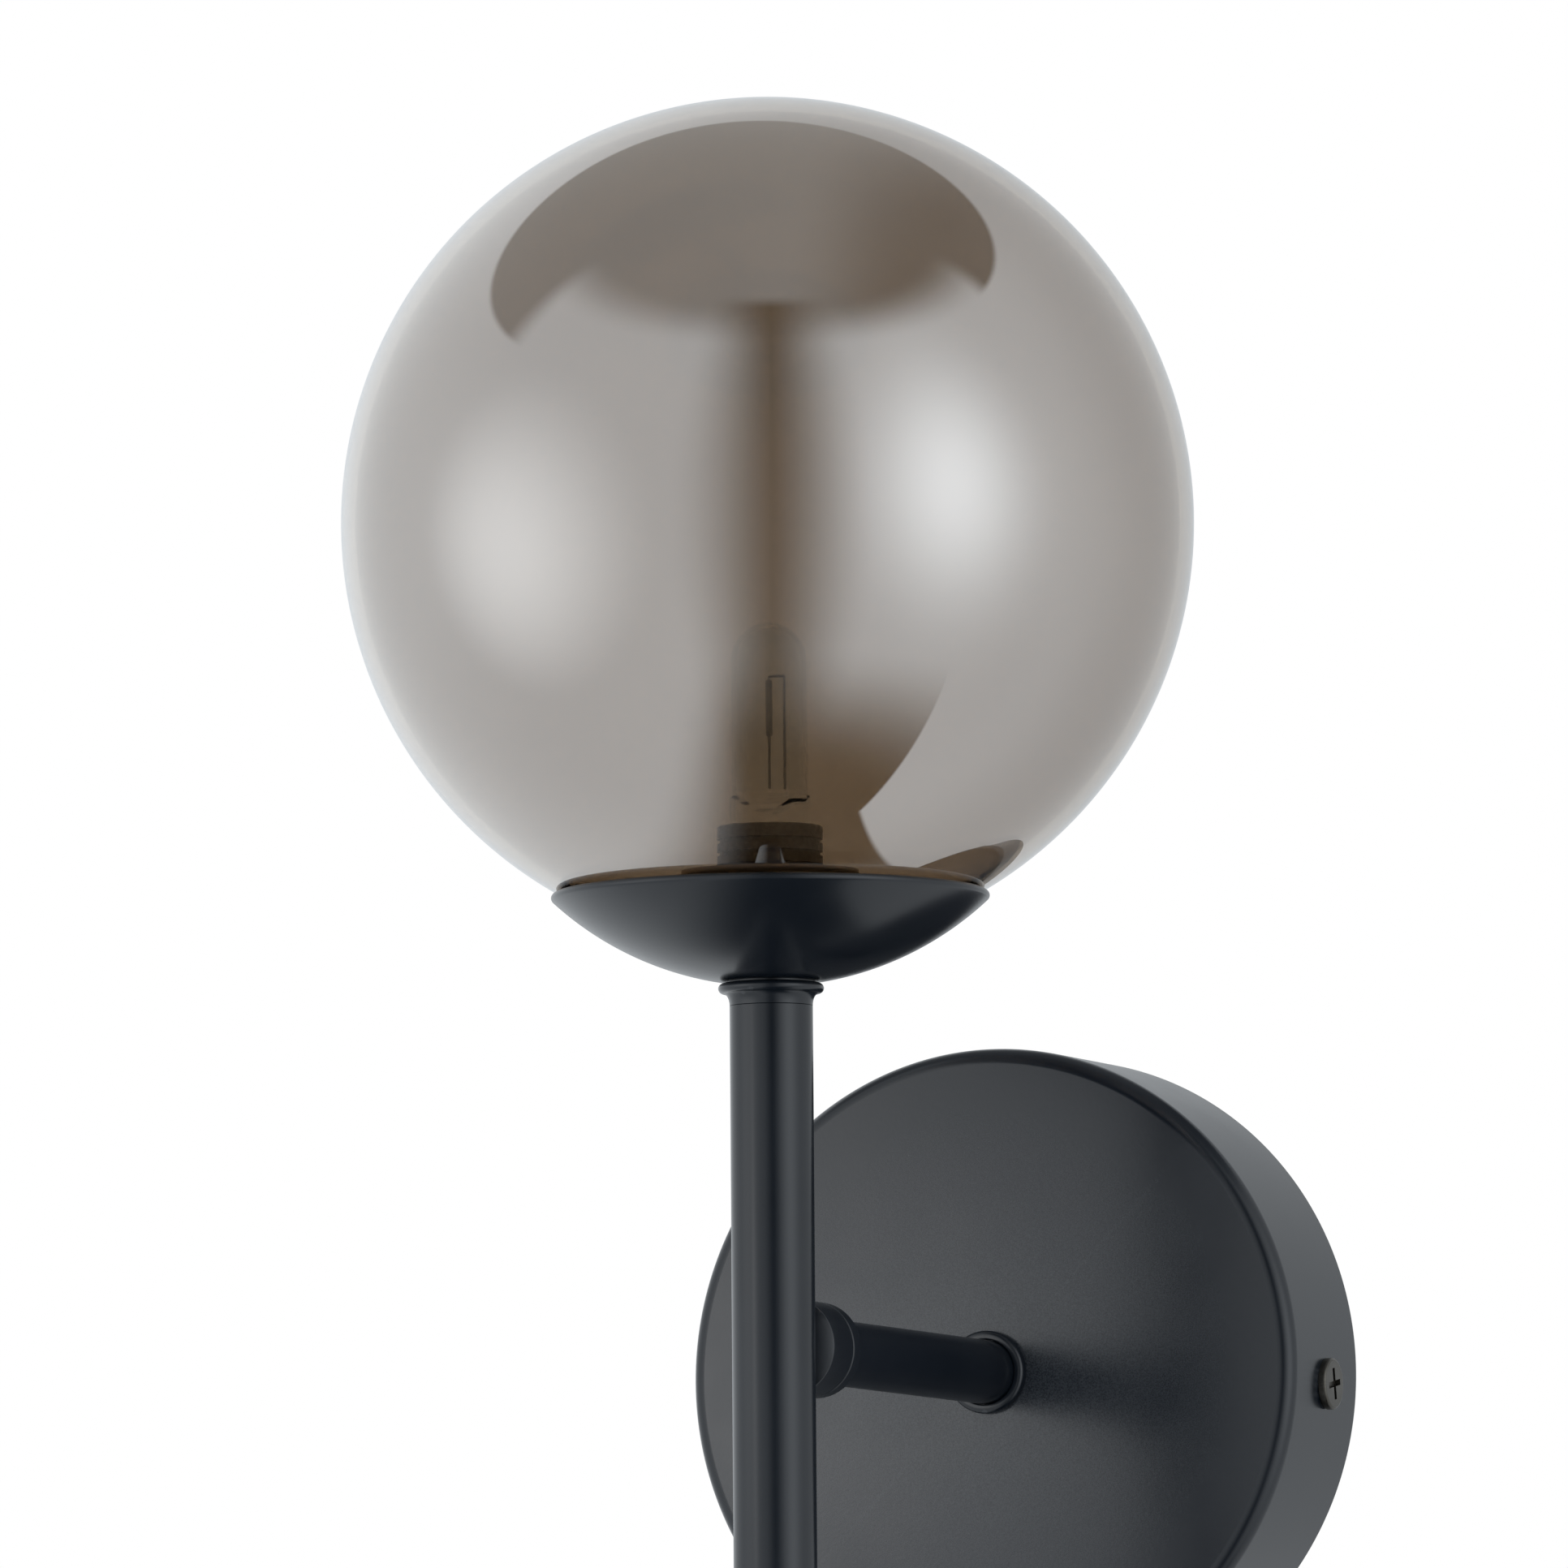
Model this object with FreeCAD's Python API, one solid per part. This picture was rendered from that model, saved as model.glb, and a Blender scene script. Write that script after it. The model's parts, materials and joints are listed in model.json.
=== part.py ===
import FreeCAD, Part
import math
import os

# Wall light with a glass ball on a vertical stem, held off a round wall canopy by one arm.
# Frame: origin on the wall at the canopy's centre, +Z up, the room on the -Y side.
# "out" below means the distance from the wall, so a point at "out" lies at y = -out.

Vector = FreeCAD.Vector
full_turn = 360.0
half_turn = 180.0
quarter_turn = 90.0
overcut = 1.0
touch = 1e-6
diagonal = 1 / math.sqrt(2)

# Glass ball
globe_diameter = 152.0
glass_wall = 2.5
neck_wall = 2.3

# Bowl under the ball: part of a sphere with a flat foot and a rounded rim
bowl_sphere_radius = 57.0
bowl_rim_radius = 39.0
bowl_wall = 1.5
bowl_foot_radius = 8.5

# Stem
rod_diameter = 14.8
tube_wall = 1.2
rod_above_arm = 60.2
rod_below_arm = 72.5
collar_flange_diameter = 18.8
collar_flange_height = 1.8
collar_sweep_height = 2.2
collar_boss_height = 0.3
collar_boss_radius = 7.8
spigot_length = 10.0
end_cap_height = 2.5
end_cap_edge = 1.0
tee_height = 15.0
tee_bore_radius = 4.2

# Hollow threaded nipples, nuts and washers that join the tubes
thread_diameter = 10.0
nipple_bore = 7.0
nipple_chamfer = 0.5
nut_across_flats = 14.0
nut_sides = 6
nut_height = 2.5
washer_diameter = 17.0
washer_height = 0.7
washer_teeth = 12
tooth_depth = 1.2
tooth_width = 1.5
nipple_grip = 12.0
nipple_past_nut = 6.0

# Arm
arm_diameter = 11.8
arm_reach = 98.9
coupler_diameter = 17.2
coupler_length = 8.9
coupler_dome = 3.0
coupler_lap = 0.3
coupler_ring_length = 3.6
coupler_edge = 0.25
arm_collar_diameter = 15.3
arm_collar_height = 2.1
arm_collar_edge = 0.9

# Wall canopy
canopy_diameter = 120.0
canopy_depth = 33.0
canopy_wall = 1.2
canopy_edge_radius = 3.0
side_screw_out = 15.0
side_screw_drop = 3.0
side_screw_diameter = 4.0
side_screw_length = 11.0
side_head_diameter = 9.5
side_head_height = 1.4
side_head_edge = 0.5
side_screw_turn = 10.0
recess_span = 5.8
recess_width = 1.1
recess_depth = 1.0

# Bracket on the wall
strap_width = 26.0
strap_thickness = 1.5
ear_width = 12.0
ear_length = 20.0
ear_inset = 1.2
bend_radius = 1.5
slot_spacing = 76.0
slot_length = 16.0
slot_width = 5.0
cable_hole_diameter = 13.0
strap_corner = 3.0

# Terminal block on the bracket
block_center_x = -20.0
block_length = 17.0
pole_count = 3
pole_pitch = 11.0
barrel_radius = 3.2
turret_radius = 2.6
turret_height = 12.0
turret_spread = 8.4
block_web = 2.4
clamp_tube_radius = 2.2
clamp_bore_radius = 1.5
clamp_length = 14.0
wire_stop = 1.0
clamp_screw_diameter = 2.6
clamp_screw_length = 6.5
fixing_screw_diameter = 3.0
fixing_head_radius = 2.1
fixing_head_height = 1.8
slit_width = 0.6
slit_depth = 0.7

# Earth screw and tag
earth_screw_x = 22.0
earth_screw_diameter = 4.0
earth_head_diameter = 8.0
earth_head_height = 2.2
earth_head_edge = 0.7
tag_thickness = 0.8
tag_radius = 4.2
tag_barrel_length = 6.0
tag_barrel_radius = 1.7

# Lampholder
sleeve_diameter = 31.5
sleeve_wall = 1.2
sleeve_top_above_foot = 20.0
sleeve_disc = 1.2
gasket_height = 1.0
holder_diameter = 18.8
holder_wall = 1.0
cap_floor = 1.5
cap_wall_height = 7.7
holder_height = 10.0
holder_edge = 0.5
holder_groove_count = 3
holder_groove_pitch = 2.2
holder_groove_width = 0.8
holder_groove_depth = 0.5
pocket_depth = 6.0
pocket_length = 15.0
pocket_width = 6.2
pocket_corner = 1.5
pin_pitch = 9.0
pin_diameter = 1.0
pin_length = 5.6
pin_edge = 0.25
contact_leaf = 0.5
contact_width = 3.6
contact_below_holder = 2.1
holder_screw_offset = 6.3
holder_screw_diameter = 2.5
holder_head_radius = 2.0
holder_head_height = 1.4
holder_post_radius = 2.4

# Bulb
bulb_diameter = 13.5
bulb_height = 42.0
bulb_glass = 0.8
pinch_height = 11.0
pinch_taper = 3.0
pinch_corner = 1.3
filament_radius = 0.6
filament_length = 10.0
filament_wire_radius = 0.25

# Leads
lead_diameter = 1.8
lead_spacing = 2.2
lead_sag = 1.8
lead_in_clamp = 4.5
lead_below_contact = 3.2
lead_below_cap = 1.3
lead_cross_start = 15.0
lead_cross_end = 35.0
lead_out_of_block = 16.2
bend_at_contact = 3.6
bend_in_stem = 40.0
bend_at_tee = 9.5
bend_behind_nut = 9.0
bend_at_block = 6.0
earth_out_of_block = 4.5
earth_low_x = -1.6
earth_bend = 4.5
earth_low_bend = 12.0

# Clearances, each measured on the radius or between two faces
thread_clearance = 0.05
slip_clearance = 0.1
weld_gap = 0.05
glass_gap = 0.3
bulb_gap = 0.3
screw_hole_clearance = 0.2
bowl_disc_gap = 0.25

# Values worked out from the ones above
globe_radius = globe_diameter / 2
rod_radius = rod_diameter / 2
arm_radius = arm_diameter / 2
thread_radius = thread_diameter / 2
tapped_radius = thread_radius + thread_clearance
stem_out = canopy_depth + arm_reach
coupler_radius = coupler_diameter / 2
coupler_front = stem_out - rod_radius + coupler_lap
coupler_back = coupler_front - coupler_length
ring_back = coupler_back - coupler_ring_length
canopy_radius = canopy_diameter / 2
canopy_inner_front = canopy_depth - canopy_wall
rear_nipple_end = canopy_inner_front - washer_height - nut_height - nipple_past_nut
flange_radius = collar_flange_diameter / 2
bowl_foot = rod_above_arm + collar_sweep_height + collar_flange_height + collar_boss_height
bowl_center = bowl_foot + math.sqrt(bowl_sphere_radius ** 2 - bowl_foot_radius ** 2)
rim_round = bowl_wall / 2
rim_center_radius = bowl_rim_radius - rim_round
rim_height = bowl_center - math.sqrt((bowl_sphere_radius - rim_round) ** 2 - rim_center_radius ** 2)
globe_seat = globe_radius + rim_round + glass_gap
globe_center = rim_height + math.sqrt(globe_seat ** 2 - rim_center_radius ** 2)
sleeve_radius = sleeve_diameter / 2
neck_bore = sleeve_radius + glass_gap
neck_radius = neck_bore + neck_wall
bowl_inner_radius = bowl_sphere_radius - bowl_wall
bowl_floor = bowl_foot + bowl_wall
disc_bottom = bowl_center - math.sqrt(bowl_inner_radius ** 2 - neck_radius ** 2) + bowl_disc_gap
disc_top = disc_bottom + sleeve_disc
gasket_bottom = disc_top + glass_gap
neck_bottom = gasket_bottom + gasket_height + glass_gap
nut_bottom = disc_top + washer_height
cap_bottom = nut_bottom + nut_height
nipple_top = cap_bottom + cap_floor
holder_radius = holder_diameter / 2
holder_bottom = nipple_top + cap_wall_height
holder_top = holder_bottom + holder_height
pocket_floor = holder_top - pocket_depth
contact_bottom = holder_bottom - contact_below_holder
bulb_bottom = pocket_floor + bulb_gap
ear_corner = ear_width / 2 + side_screw_drop
ear_face = math.sqrt((canopy_radius - canopy_wall) ** 2 - ear_corner ** 2) - ear_inset
block_axis_out = strap_thickness + barrel_radius + weld_gap
block_mouth = block_center_x + clamp_length / 2
turret_top = strap_thickness + turret_height
lead_radius = lead_diameter / 2


def cylinder(radius, low, high):
    return Part.makeCylinder(radius, high - low, Vector(0, 0, low))


def ring(outer, inner, low, high):
    return cylinder(outer, low, high).cut(cylinder(inner, low - overcut, high + overcut))


def box(x, y, z):
    return Part.makeBox(x[1] - x[0], y[1] - y[0], z[1] - z[0], Vector(x[0], y[0], z[0]))


def fuse(shapes):
    whole = shapes[0].multiFuse(shapes[1:])
    return whole.removeSplitter()


def line(a, b):
    return Part.LineSegment(Vector(a[0], 0, a[1]), Vector(b[0], 0, b[1])).toShape()


def arc(a, middle, b):
    points = [Vector(p[0], 0, p[1]) for p in (a, middle, b)]
    return Part.Arc(*points).toShape()


def turned(edges):
    """A closed profile in radius and height, turned about the vertical axis."""
    face = Part.Face(Part.Wire(edges))
    solid = face.revolve(Vector(0, 0, 0), Vector(0, 0, 1), full_turn)
    return solid if solid.Volume > 0 else solid.reversed()


def turned_polygon(points):
    closed = points + points[:1]
    return turned([line(a, b) for a, b in zip(closed, closed[1:])])


def on_sphere(radius, center, around):
    """The point below the centre of a sphere at a distance from its vertical axis."""
    return (around, center - math.sqrt(radius ** 2 - around ** 2))


def on_stem(shape):
    """A piece made about the vertical axis is carried out to the stem."""
    shape.translate(Vector(0, -stem_out, 0))
    return shape


def on_arm(shape):
    """A piece whose height was its distance from the wall is laid down along the arm."""
    shape.rotate(Vector(0, 0, 0), Vector(1, 0, 0), quarter_turn)
    return shape


def hexagon(across, bore, low, high):
    corner = across / math.sqrt(3)
    angles = [math.radians(full_turn * i / nut_sides) for i in range(nut_sides + 1)]
    points = [Vector(corner * math.cos(a), corner * math.sin(a), low) for a in angles]
    prism = Part.Face(Part.makePolygon(points)).extrude(Vector(0, 0, high - low))
    # the corners of a nut are turned off at both ends
    chamfer = corner - across / 2
    turned_blank = turned_polygon([
        (0, low), (across / 2, low), (corner, low + chamfer), (corner, high - chamfer),
        (across / 2, high), (0, high)])
    return prism.common(turned_blank).cut(cylinder(bore, low - overcut, high + overcut))


def toothed_washer(low):
    """A flat washer with teeth round its hole, made by cutting notches there."""
    plate = ring(washer_diameter / 2, tapped_radius + slip_clearance, low, low + washer_height)
    reach = tapped_radius + slip_clearance + tooth_depth
    notch = box((0, reach), (-tooth_width / 2, tooth_width / 2),
                (low - overcut, low + washer_height + overcut))
    for i in range(washer_teeth):
        tooth = notch.copy()
        tooth.rotate(Vector(0, 0, 0), Vector(0, 0, 1), full_turn * i / washer_teeth)
        plate = plate.cut(tooth)
    return plate


def nipple(low, high):
    tip = thread_radius - nipple_chamfer
    bore = nipple_bore / 2
    return turned_polygon([
        (bore, low), (tip, low), (thread_radius, low + nipple_chamfer),
        (thread_radius, high - nipple_chamfer), (tip, high), (bore, high)])


# Glass ball and what carries it

def globe_shade():
    inner_radius = globe_radius - glass_wall
    shoulder = on_sphere(globe_radius, globe_center, neck_radius)
    mouth = on_sphere(inner_radius, globe_center, neck_bore)
    outer_top = (0, globe_center + globe_radius)
    inner_top = (0, globe_center + inner_radius)
    edges = [
        arc(shoulder, (globe_radius, globe_center), outer_top),
        line(outer_top, inner_top),
        arc(inner_top, (inner_radius, globe_center), mouth),
        line(mouth, (neck_bore, neck_bottom)),
        line((neck_bore, neck_bottom), (neck_radius, neck_bottom)),
        line((neck_radius, neck_bottom), shoulder)]
    return on_stem(turned(edges))


def neck_gasket():
    return on_stem(ring(neck_radius, neck_bore, gasket_bottom, gasket_bottom + gasket_height))


def gallery_bowl():
    outer = bowl_sphere_radius
    inner = bowl_inner_radius
    # the rim is a full round on the middle of the sheet
    reach = rim_center_radius / (outer - rim_round)
    drop = math.sqrt(1 - reach ** 2)
    rim_outside = (rim_center_radius + rim_round * reach, rim_height - rim_round * drop)
    rim_inside = (rim_center_radius - rim_round * reach, rim_height + rim_round * drop)
    rim_tip = (rim_center_radius + rim_round * drop, rim_height + rim_round * reach)
    foot_edge = on_sphere(outer, bowl_center, bowl_foot_radius)
    floor_radius = math.sqrt(inner ** 2 - (bowl_center - bowl_floor) ** 2)
    floor_edge = (floor_radius, bowl_floor)
    middle = (bowl_foot_radius + rim_center_radius) / 2
    hole = tapped_radius + slip_clearance
    edges = [
        line((hole, bowl_foot), foot_edge),
        arc(foot_edge, on_sphere(outer, bowl_center, middle), rim_outside),
        arc(rim_outside, rim_tip, rim_inside),
        arc(rim_inside, on_sphere(inner, bowl_center, middle), floor_edge),
        line(floor_edge, (hole, bowl_floor)),
        line((hole, bowl_floor), (hole, bowl_foot))]
    return on_stem(turned(edges))


def threaded_sleeve():
    """The glass neck screws onto this tube; its foot clamps the bowl to the stem."""
    hub_radius = bowl_foot_radius - bowl_wall
    top = bowl_foot + sleeve_top_above_foot
    inside = sleeve_radius - sleeve_wall
    return on_stem(turned_polygon([
        (tapped_radius + slip_clearance, bowl_floor), (hub_radius, bowl_floor),
        (hub_radius, disc_bottom), (neck_radius, disc_bottom), (neck_radius, disc_top),
        (sleeve_radius, disc_top), (sleeve_radius, top), (inside, top), (inside, disc_top),
        (tapped_radius + slip_clearance, disc_top)]))


def stem_nipple():
    return on_stem(nipple(rod_above_arm - spigot_length, nipple_top))


def stem_washer():
    return on_stem(toothed_washer(disc_top))


def stem_nut():
    return on_stem(hexagon(nut_across_flats, tapped_radius, nut_bottom, cap_bottom))


# Lampholder

def at_both_ends(shape):
    """The piece and its twin, half a turn round the stem."""
    twin = shape.copy()
    twin.rotate(Vector(0, 0, 0), Vector(0, 0, 1), half_turn)
    return [shape, twin]


def post(radius, low, high):
    shape = cylinder(radius, low, high)
    shape.translate(Vector(0, holder_screw_offset, 0))
    return shape


def lampholder_cap():
    inside = holder_radius - holder_wall
    cup = turned_polygon([
        (0, cap_bottom), (holder_radius, cap_bottom), (holder_radius, holder_bottom),
        (inside, holder_bottom), (inside, nipple_top), (0, nipple_top)])
    envelope = cylinder(holder_radius, cap_bottom, holder_bottom)
    posts = at_both_ends(post(holder_post_radius, nipple_top, holder_bottom))
    blank = fuse([cup] + [p.common(envelope) for p in posts])
    blank = blank.cut(cylinder(tapped_radius, cap_bottom - overcut, nipple_top + overcut))
    tap = post(holder_screw_diameter / 2 + thread_clearance, nipple_top, holder_bottom)
    for hole in at_both_ends(tap):
        blank = blank.cut(hole)
    return on_stem(blank)


def contact_space():
    """Half the room in the holder's floor that one pin and its contact leaves take."""
    return pin_diameter / 2 + bulb_gap + contact_leaf


def lampholder_body():
    """Ceramic with grooves round its side, a pocket for the bulb's pinch and two pin slots."""
    body = cylinder(holder_radius, holder_bottom, holder_top)
    top_edge = [e for e in body.Edges if abs(e.BoundBox.ZMin - holder_top) < touch]
    body = body.makeFillet(holder_edge, top_edge)
    middle = (holder_bottom + holder_top) / 2
    for i in range(holder_groove_count):
        low = middle + holder_groove_pitch * (i - (holder_groove_count - 1) / 2) - holder_groove_width / 2
        body = body.cut(ring(holder_radius + overcut, holder_radius - holder_groove_depth,
                             low, low + holder_groove_width))
    pocket = box((-pocket_length / 2, pocket_length / 2), (-pocket_width / 2, pocket_width / 2),
                 (pocket_floor, holder_top + overcut))
    uprights = [e for e in pocket.Edges if e.BoundBox.ZLength > pocket_depth]
    body = body.cut(pocket.makeFillet(pocket_corner, uprights))
    half = contact_space()
    slot = box((pin_pitch / 2 - half, pin_pitch / 2 + half), (-contact_width / 2, contact_width / 2),
               (holder_bottom - overcut, pocket_floor + overcut))
    for cut in at_both_ends(slot):
        body = body.cut(cut)
    shank = post(holder_screw_diameter / 2 + slip_clearance, holder_bottom - overcut, holder_top + overcut)
    head = post(holder_head_radius + slip_clearance, holder_top - holder_head_height, holder_top + overcut)
    for cut in at_both_ends(shank) + at_both_ends(head):
        body = body.cut(cut)
    return on_stem(body)


def lampholder_contacts():
    half = contact_space()
    low = contact_bottom
    high = pocket_floor - bulb_gap
    across = (-contact_width / 2 + slip_clearance, contact_width / 2 - slip_clearance)
    near = pin_pitch / 2 - half + slip_clearance / 2
    far = pin_pitch / 2 + half - slip_clearance / 2
    fork = box((near, far), across, (low, high))
    gap = box((near + contact_leaf, far - contact_leaf), across, (low + contact_leaf, high + overcut))
    return [on_stem(s) for s in at_both_ends(fork.cut(gap))]


def lampholder_screws():
    head_bottom = holder_top - holder_head_height
    screw_tip = nipple_top + holder_screw_diameter / 2
    head = post(holder_head_radius, head_bottom, holder_top - slip_clearance)
    slit = box((-holder_head_radius, holder_head_radius),
               (holder_screw_offset - slit_width / 2, holder_screw_offset + slit_width / 2),
               (holder_top - slip_clearance - slit_depth, holder_top))
    screw = fuse([head, post(holder_screw_diameter / 2, screw_tip, head_bottom)]).cut(slit)
    return [on_stem(s) for s in at_both_ends(screw)]


# Bulb

def capsule(radius, low, high):
    """A round bar with a flat foot and a half-ball top."""
    shoulder = high - radius
    return turned([
        line((0, low), (radius, low)),
        line((radius, low), (radius, shoulder)),
        arc((radius, shoulder), (radius * diagonal, shoulder + radius * diagonal), (0, high)),
        line((0, high), (0, low))])


def bulb_envelope():
    radius = bulb_diameter / 2
    shoulder = bulb_bottom + pinch_height
    top = bulb_bottom + bulb_height
    pinch_half = pocket_width / 2 - bulb_gap - slip_clearance
    pinch_width = pocket_length / 2 - bulb_gap - slip_clearance
    pinch = box((-pinch_width, pinch_width), (-pinch_half, pinch_half), (bulb_bottom, shoulder))
    pinch = pinch.makeFillet(pinch_corner, [e for e in pinch.Edges if e.BoundBox.ZLength > pinch_taper])
    neck = Part.makeCone(pinch_half, radius, pinch_taper, Vector(0, 0, shoulder - pinch_taper))
    outside = fuse([pinch, neck, capsule(radius, shoulder, top)])
    hollow = capsule(radius - bulb_glass, shoulder + bulb_glass, top - bulb_glass)
    return on_stem(outside.cut(hollow))


def bulb_pins():
    tip = bulb_bottom - pin_length
    pin = cylinder(pin_diameter / 2, tip, bulb_bottom)
    pin = pin.makeFillet(pin_edge, [e for e in pin.Edges if abs(e.BoundBox.ZMax - tip) < touch])
    pin.translate(Vector(pin_pitch / 2, 0, 0))
    return [on_stem(s) for s in at_both_ends(pin)]


def bulb_filament():
    """An upright coil between two lead wires that rise from the pinch."""
    foot = bulb_bottom + pinch_height + bulb_glass
    low = foot + filament_length
    coil = cylinder(filament_radius, low, low + filament_length)
    lower = cylinder(filament_wire_radius, foot, low)
    side = (bulb_diameter / 2 - bulb_glass) / 2
    high = low + filament_length + filament_radius
    upright = cylinder(filament_wire_radius, foot, high)
    upright.translate(Vector(side, 0, 0))
    bridge = Part.makeCylinder(filament_wire_radius, side, Vector(0, 0, high), Vector(1, 0, 0))
    riser = cylinder(filament_wire_radius, low + filament_length, high)
    return on_stem(fuse([coil, lower, upright, bridge, riser]))


# Stem

def stem_collar():
    """Flange with a concave foot, a boss on top and a spigot down inside the rod."""
    sweep_top = rod_above_arm + collar_sweep_height
    flange_top = sweep_top + collar_flange_height
    edge = collar_flange_height / 2
    spigot = rod_radius - tube_wall - weld_gap
    bottom = rod_above_arm - spigot_length
    lip = flange_radius - edge
    # the hollow sweep passes through the middle of a quarter ellipse
    sweep_middle = (lip - (lip - rod_radius) * diagonal, rod_above_arm + collar_sweep_height * diagonal)
    edges = [
        line((tapped_radius, bottom), (spigot, bottom)),
        line((spigot, bottom), (spigot, rod_above_arm)),
        line((spigot, rod_above_arm), (rod_radius, rod_above_arm)),
        arc((rod_radius, rod_above_arm), sweep_middle, (lip, sweep_top)),
        arc((lip, sweep_top), (flange_radius, sweep_top + edge), (lip, flange_top)),
        line((lip, flange_top), (collar_boss_radius, flange_top)),
        line((collar_boss_radius, flange_top), (collar_boss_radius, bowl_foot)),
        line((collar_boss_radius, bowl_foot), (tapped_radius, bowl_foot)),
        line((tapped_radius, bowl_foot), (tapped_radius, bottom))]
    return on_stem(turned(edges))


def stem_rod():
    tube = ring(rod_radius, rod_radius - tube_wall, -rod_below_arm, rod_above_arm)
    hole = Part.makeCylinder(tapped_radius + slip_clearance, rod_radius + overcut,
                             Vector(0, 0, 0), Vector(0, 1, 0))
    return on_stem(tube.cut(hole))


def stem_tee():
    """Round bar inside the rod, tapped across for the arm and bored up for the leads."""
    radius = rod_radius - tube_wall - weld_gap
    bar = cylinder(radius, -tee_height / 2, tee_height / 2)
    cross = Part.makeCylinder(tapped_radius, radius + tee_bore_radius, Vector(0, -tee_bore_radius, 0),
                              Vector(0, 1, 0))
    rise = cylinder(tee_bore_radius, 0, tee_height)
    return on_stem(bar.cut(cross).cut(rise))


def stem_end_cap():
    low = -rod_below_arm - end_cap_height
    spigot = rod_radius - tube_wall - weld_gap
    edge = end_cap_edge
    slant = edge * diagonal
    top = -rod_below_arm + spigot_length
    edges = [
        line((0, low), (rod_radius - edge, low)),
        arc((rod_radius - edge, low), (rod_radius - edge + slant, low + edge - slant),
            (rod_radius, low + edge)),
        line((rod_radius, low + edge), (rod_radius, -rod_below_arm)),
        line((rod_radius, -rod_below_arm), (spigot, -rod_below_arm)),
        line((spigot, -rod_below_arm), (spigot, top)),
        line((spigot, top), (spigot - tube_wall, top)),
        line((spigot - tube_wall, top), (spigot - tube_wall, -rod_below_arm)),
        line((spigot - tube_wall, -rod_below_arm), (0, -rod_below_arm)),
        line((0, -rod_below_arm), (0, low))]
    return on_stem(turned(edges))


# Arm

def arm_coupler():
    """Turned piece with a domed front, saddled to the back of the rod."""
    dome_top = coupler_front + coupler_dome
    sphere = (coupler_radius ** 2 + coupler_dome ** 2) / (2 * coupler_dome)
    half_way = coupler_radius / 2
    half_way_rise = math.sqrt(sphere ** 2 - half_way ** 2) - (sphere - coupler_dome)
    edges = [
        line((0, coupler_back), (coupler_radius - coupler_edge, coupler_back)),
        line((coupler_radius - coupler_edge, coupler_back), (coupler_radius, coupler_back + coupler_edge)),
        line((coupler_radius, coupler_back + coupler_edge), (coupler_radius, coupler_front)),
        arc((coupler_radius, coupler_front), (half_way, coupler_front + half_way_rise), (0, dome_top)),
        line((0, dome_top), (0, coupler_back))]
    blank = on_arm(turned(edges).cut(cylinder(tapped_radius, coupler_back - overcut, dome_top + overcut)))
    rod = on_stem(cylinder(rod_radius + weld_gap, -coupler_diameter, coupler_diameter))
    return blank.cut(rod)


def coupler_ring():
    edge = coupler_edge
    bore = arm_radius + slip_clearance
    return on_arm(turned_polygon([
        (bore, ring_back), (coupler_radius - edge, ring_back), (coupler_radius, ring_back + edge),
        (coupler_radius, coupler_back - edge), (coupler_radius - edge, coupler_back),
        (bore, coupler_back)]))


def arm_tube():
    return on_arm(ring(arm_radius, tapped_radius, canopy_depth, coupler_back))


def front_nipple():
    return on_arm(nipple(coupler_back - nipple_grip, stem_out - nipple_bore / 2 + tube_wall))


def rear_nipple():
    return on_arm(nipple(rear_nipple_end, canopy_depth + nipple_grip))


def arm_collar():
    bore = arm_radius + slip_clearance
    outer = arm_collar_diameter / 2
    top = canopy_depth + arm_collar_height
    edge = arm_collar_edge
    slant = edge * diagonal
    edges = [
        line((bore, canopy_depth), (outer, canopy_depth)),
        line((outer, canopy_depth), (outer, top - edge)),
        arc((outer, top - edge), (outer - edge + slant, top - edge + slant), (outer - edge, top)),
        line((outer - edge, top), (bore, top)),
        line((bore, top), (bore, canopy_depth))]
    return on_arm(turned(edges))


def arm_washer():
    return on_arm(toothed_washer(canopy_inner_front - washer_height))


def arm_nut():
    top = canopy_inner_front - washer_height
    return on_arm(hexagon(nut_across_flats, tapped_radius, top - nut_height, top))


# Wall canopy and bracket

def along_x(shape, out, height):
    """A piece made upright is laid along +X, at a distance from the wall and a height."""
    shape.rotate(Vector(0, 0, 0), Vector(0, 1, 0), quarter_turn)
    shape.translate(Vector(0, -out, height))
    return shape


def both_sides(shape):
    return [shape, shape.mirror(Vector(0, 0, 0), Vector(1, 0, 0))]


def wall_canopy():
    outer = canopy_radius
    inner = outer - canopy_wall
    hole = tapped_radius + slip_clearance
    outer_edge = canopy_edge_radius
    inner_edge = canopy_edge_radius - canopy_wall
    slant = 1 - diagonal
    front = canopy_depth
    back = canopy_inner_front
    edges = [
        line((hole, front), (outer - outer_edge, front)),
        arc((outer - outer_edge, front), (outer - outer_edge * slant, front - outer_edge * slant),
            (outer, front - outer_edge)),
        line((outer, front - outer_edge), (outer, 0)),
        line((outer, 0), (inner, 0)),
        line((inner, 0), (inner, back - inner_edge)),
        arc((inner, back - inner_edge), (inner - inner_edge * slant, back - inner_edge * slant),
            (inner - inner_edge, back)),
        line((inner - inner_edge, back), (hole, back)),
        line((hole, back), (hole, front))]
    shell = on_arm(turned(edges))
    drill = cylinder(side_screw_diameter / 2 + screw_hole_clearance, -outer - overcut, outer + overcut)
    return shell.cut(along_x(drill, side_screw_out, -side_screw_drop))


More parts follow.
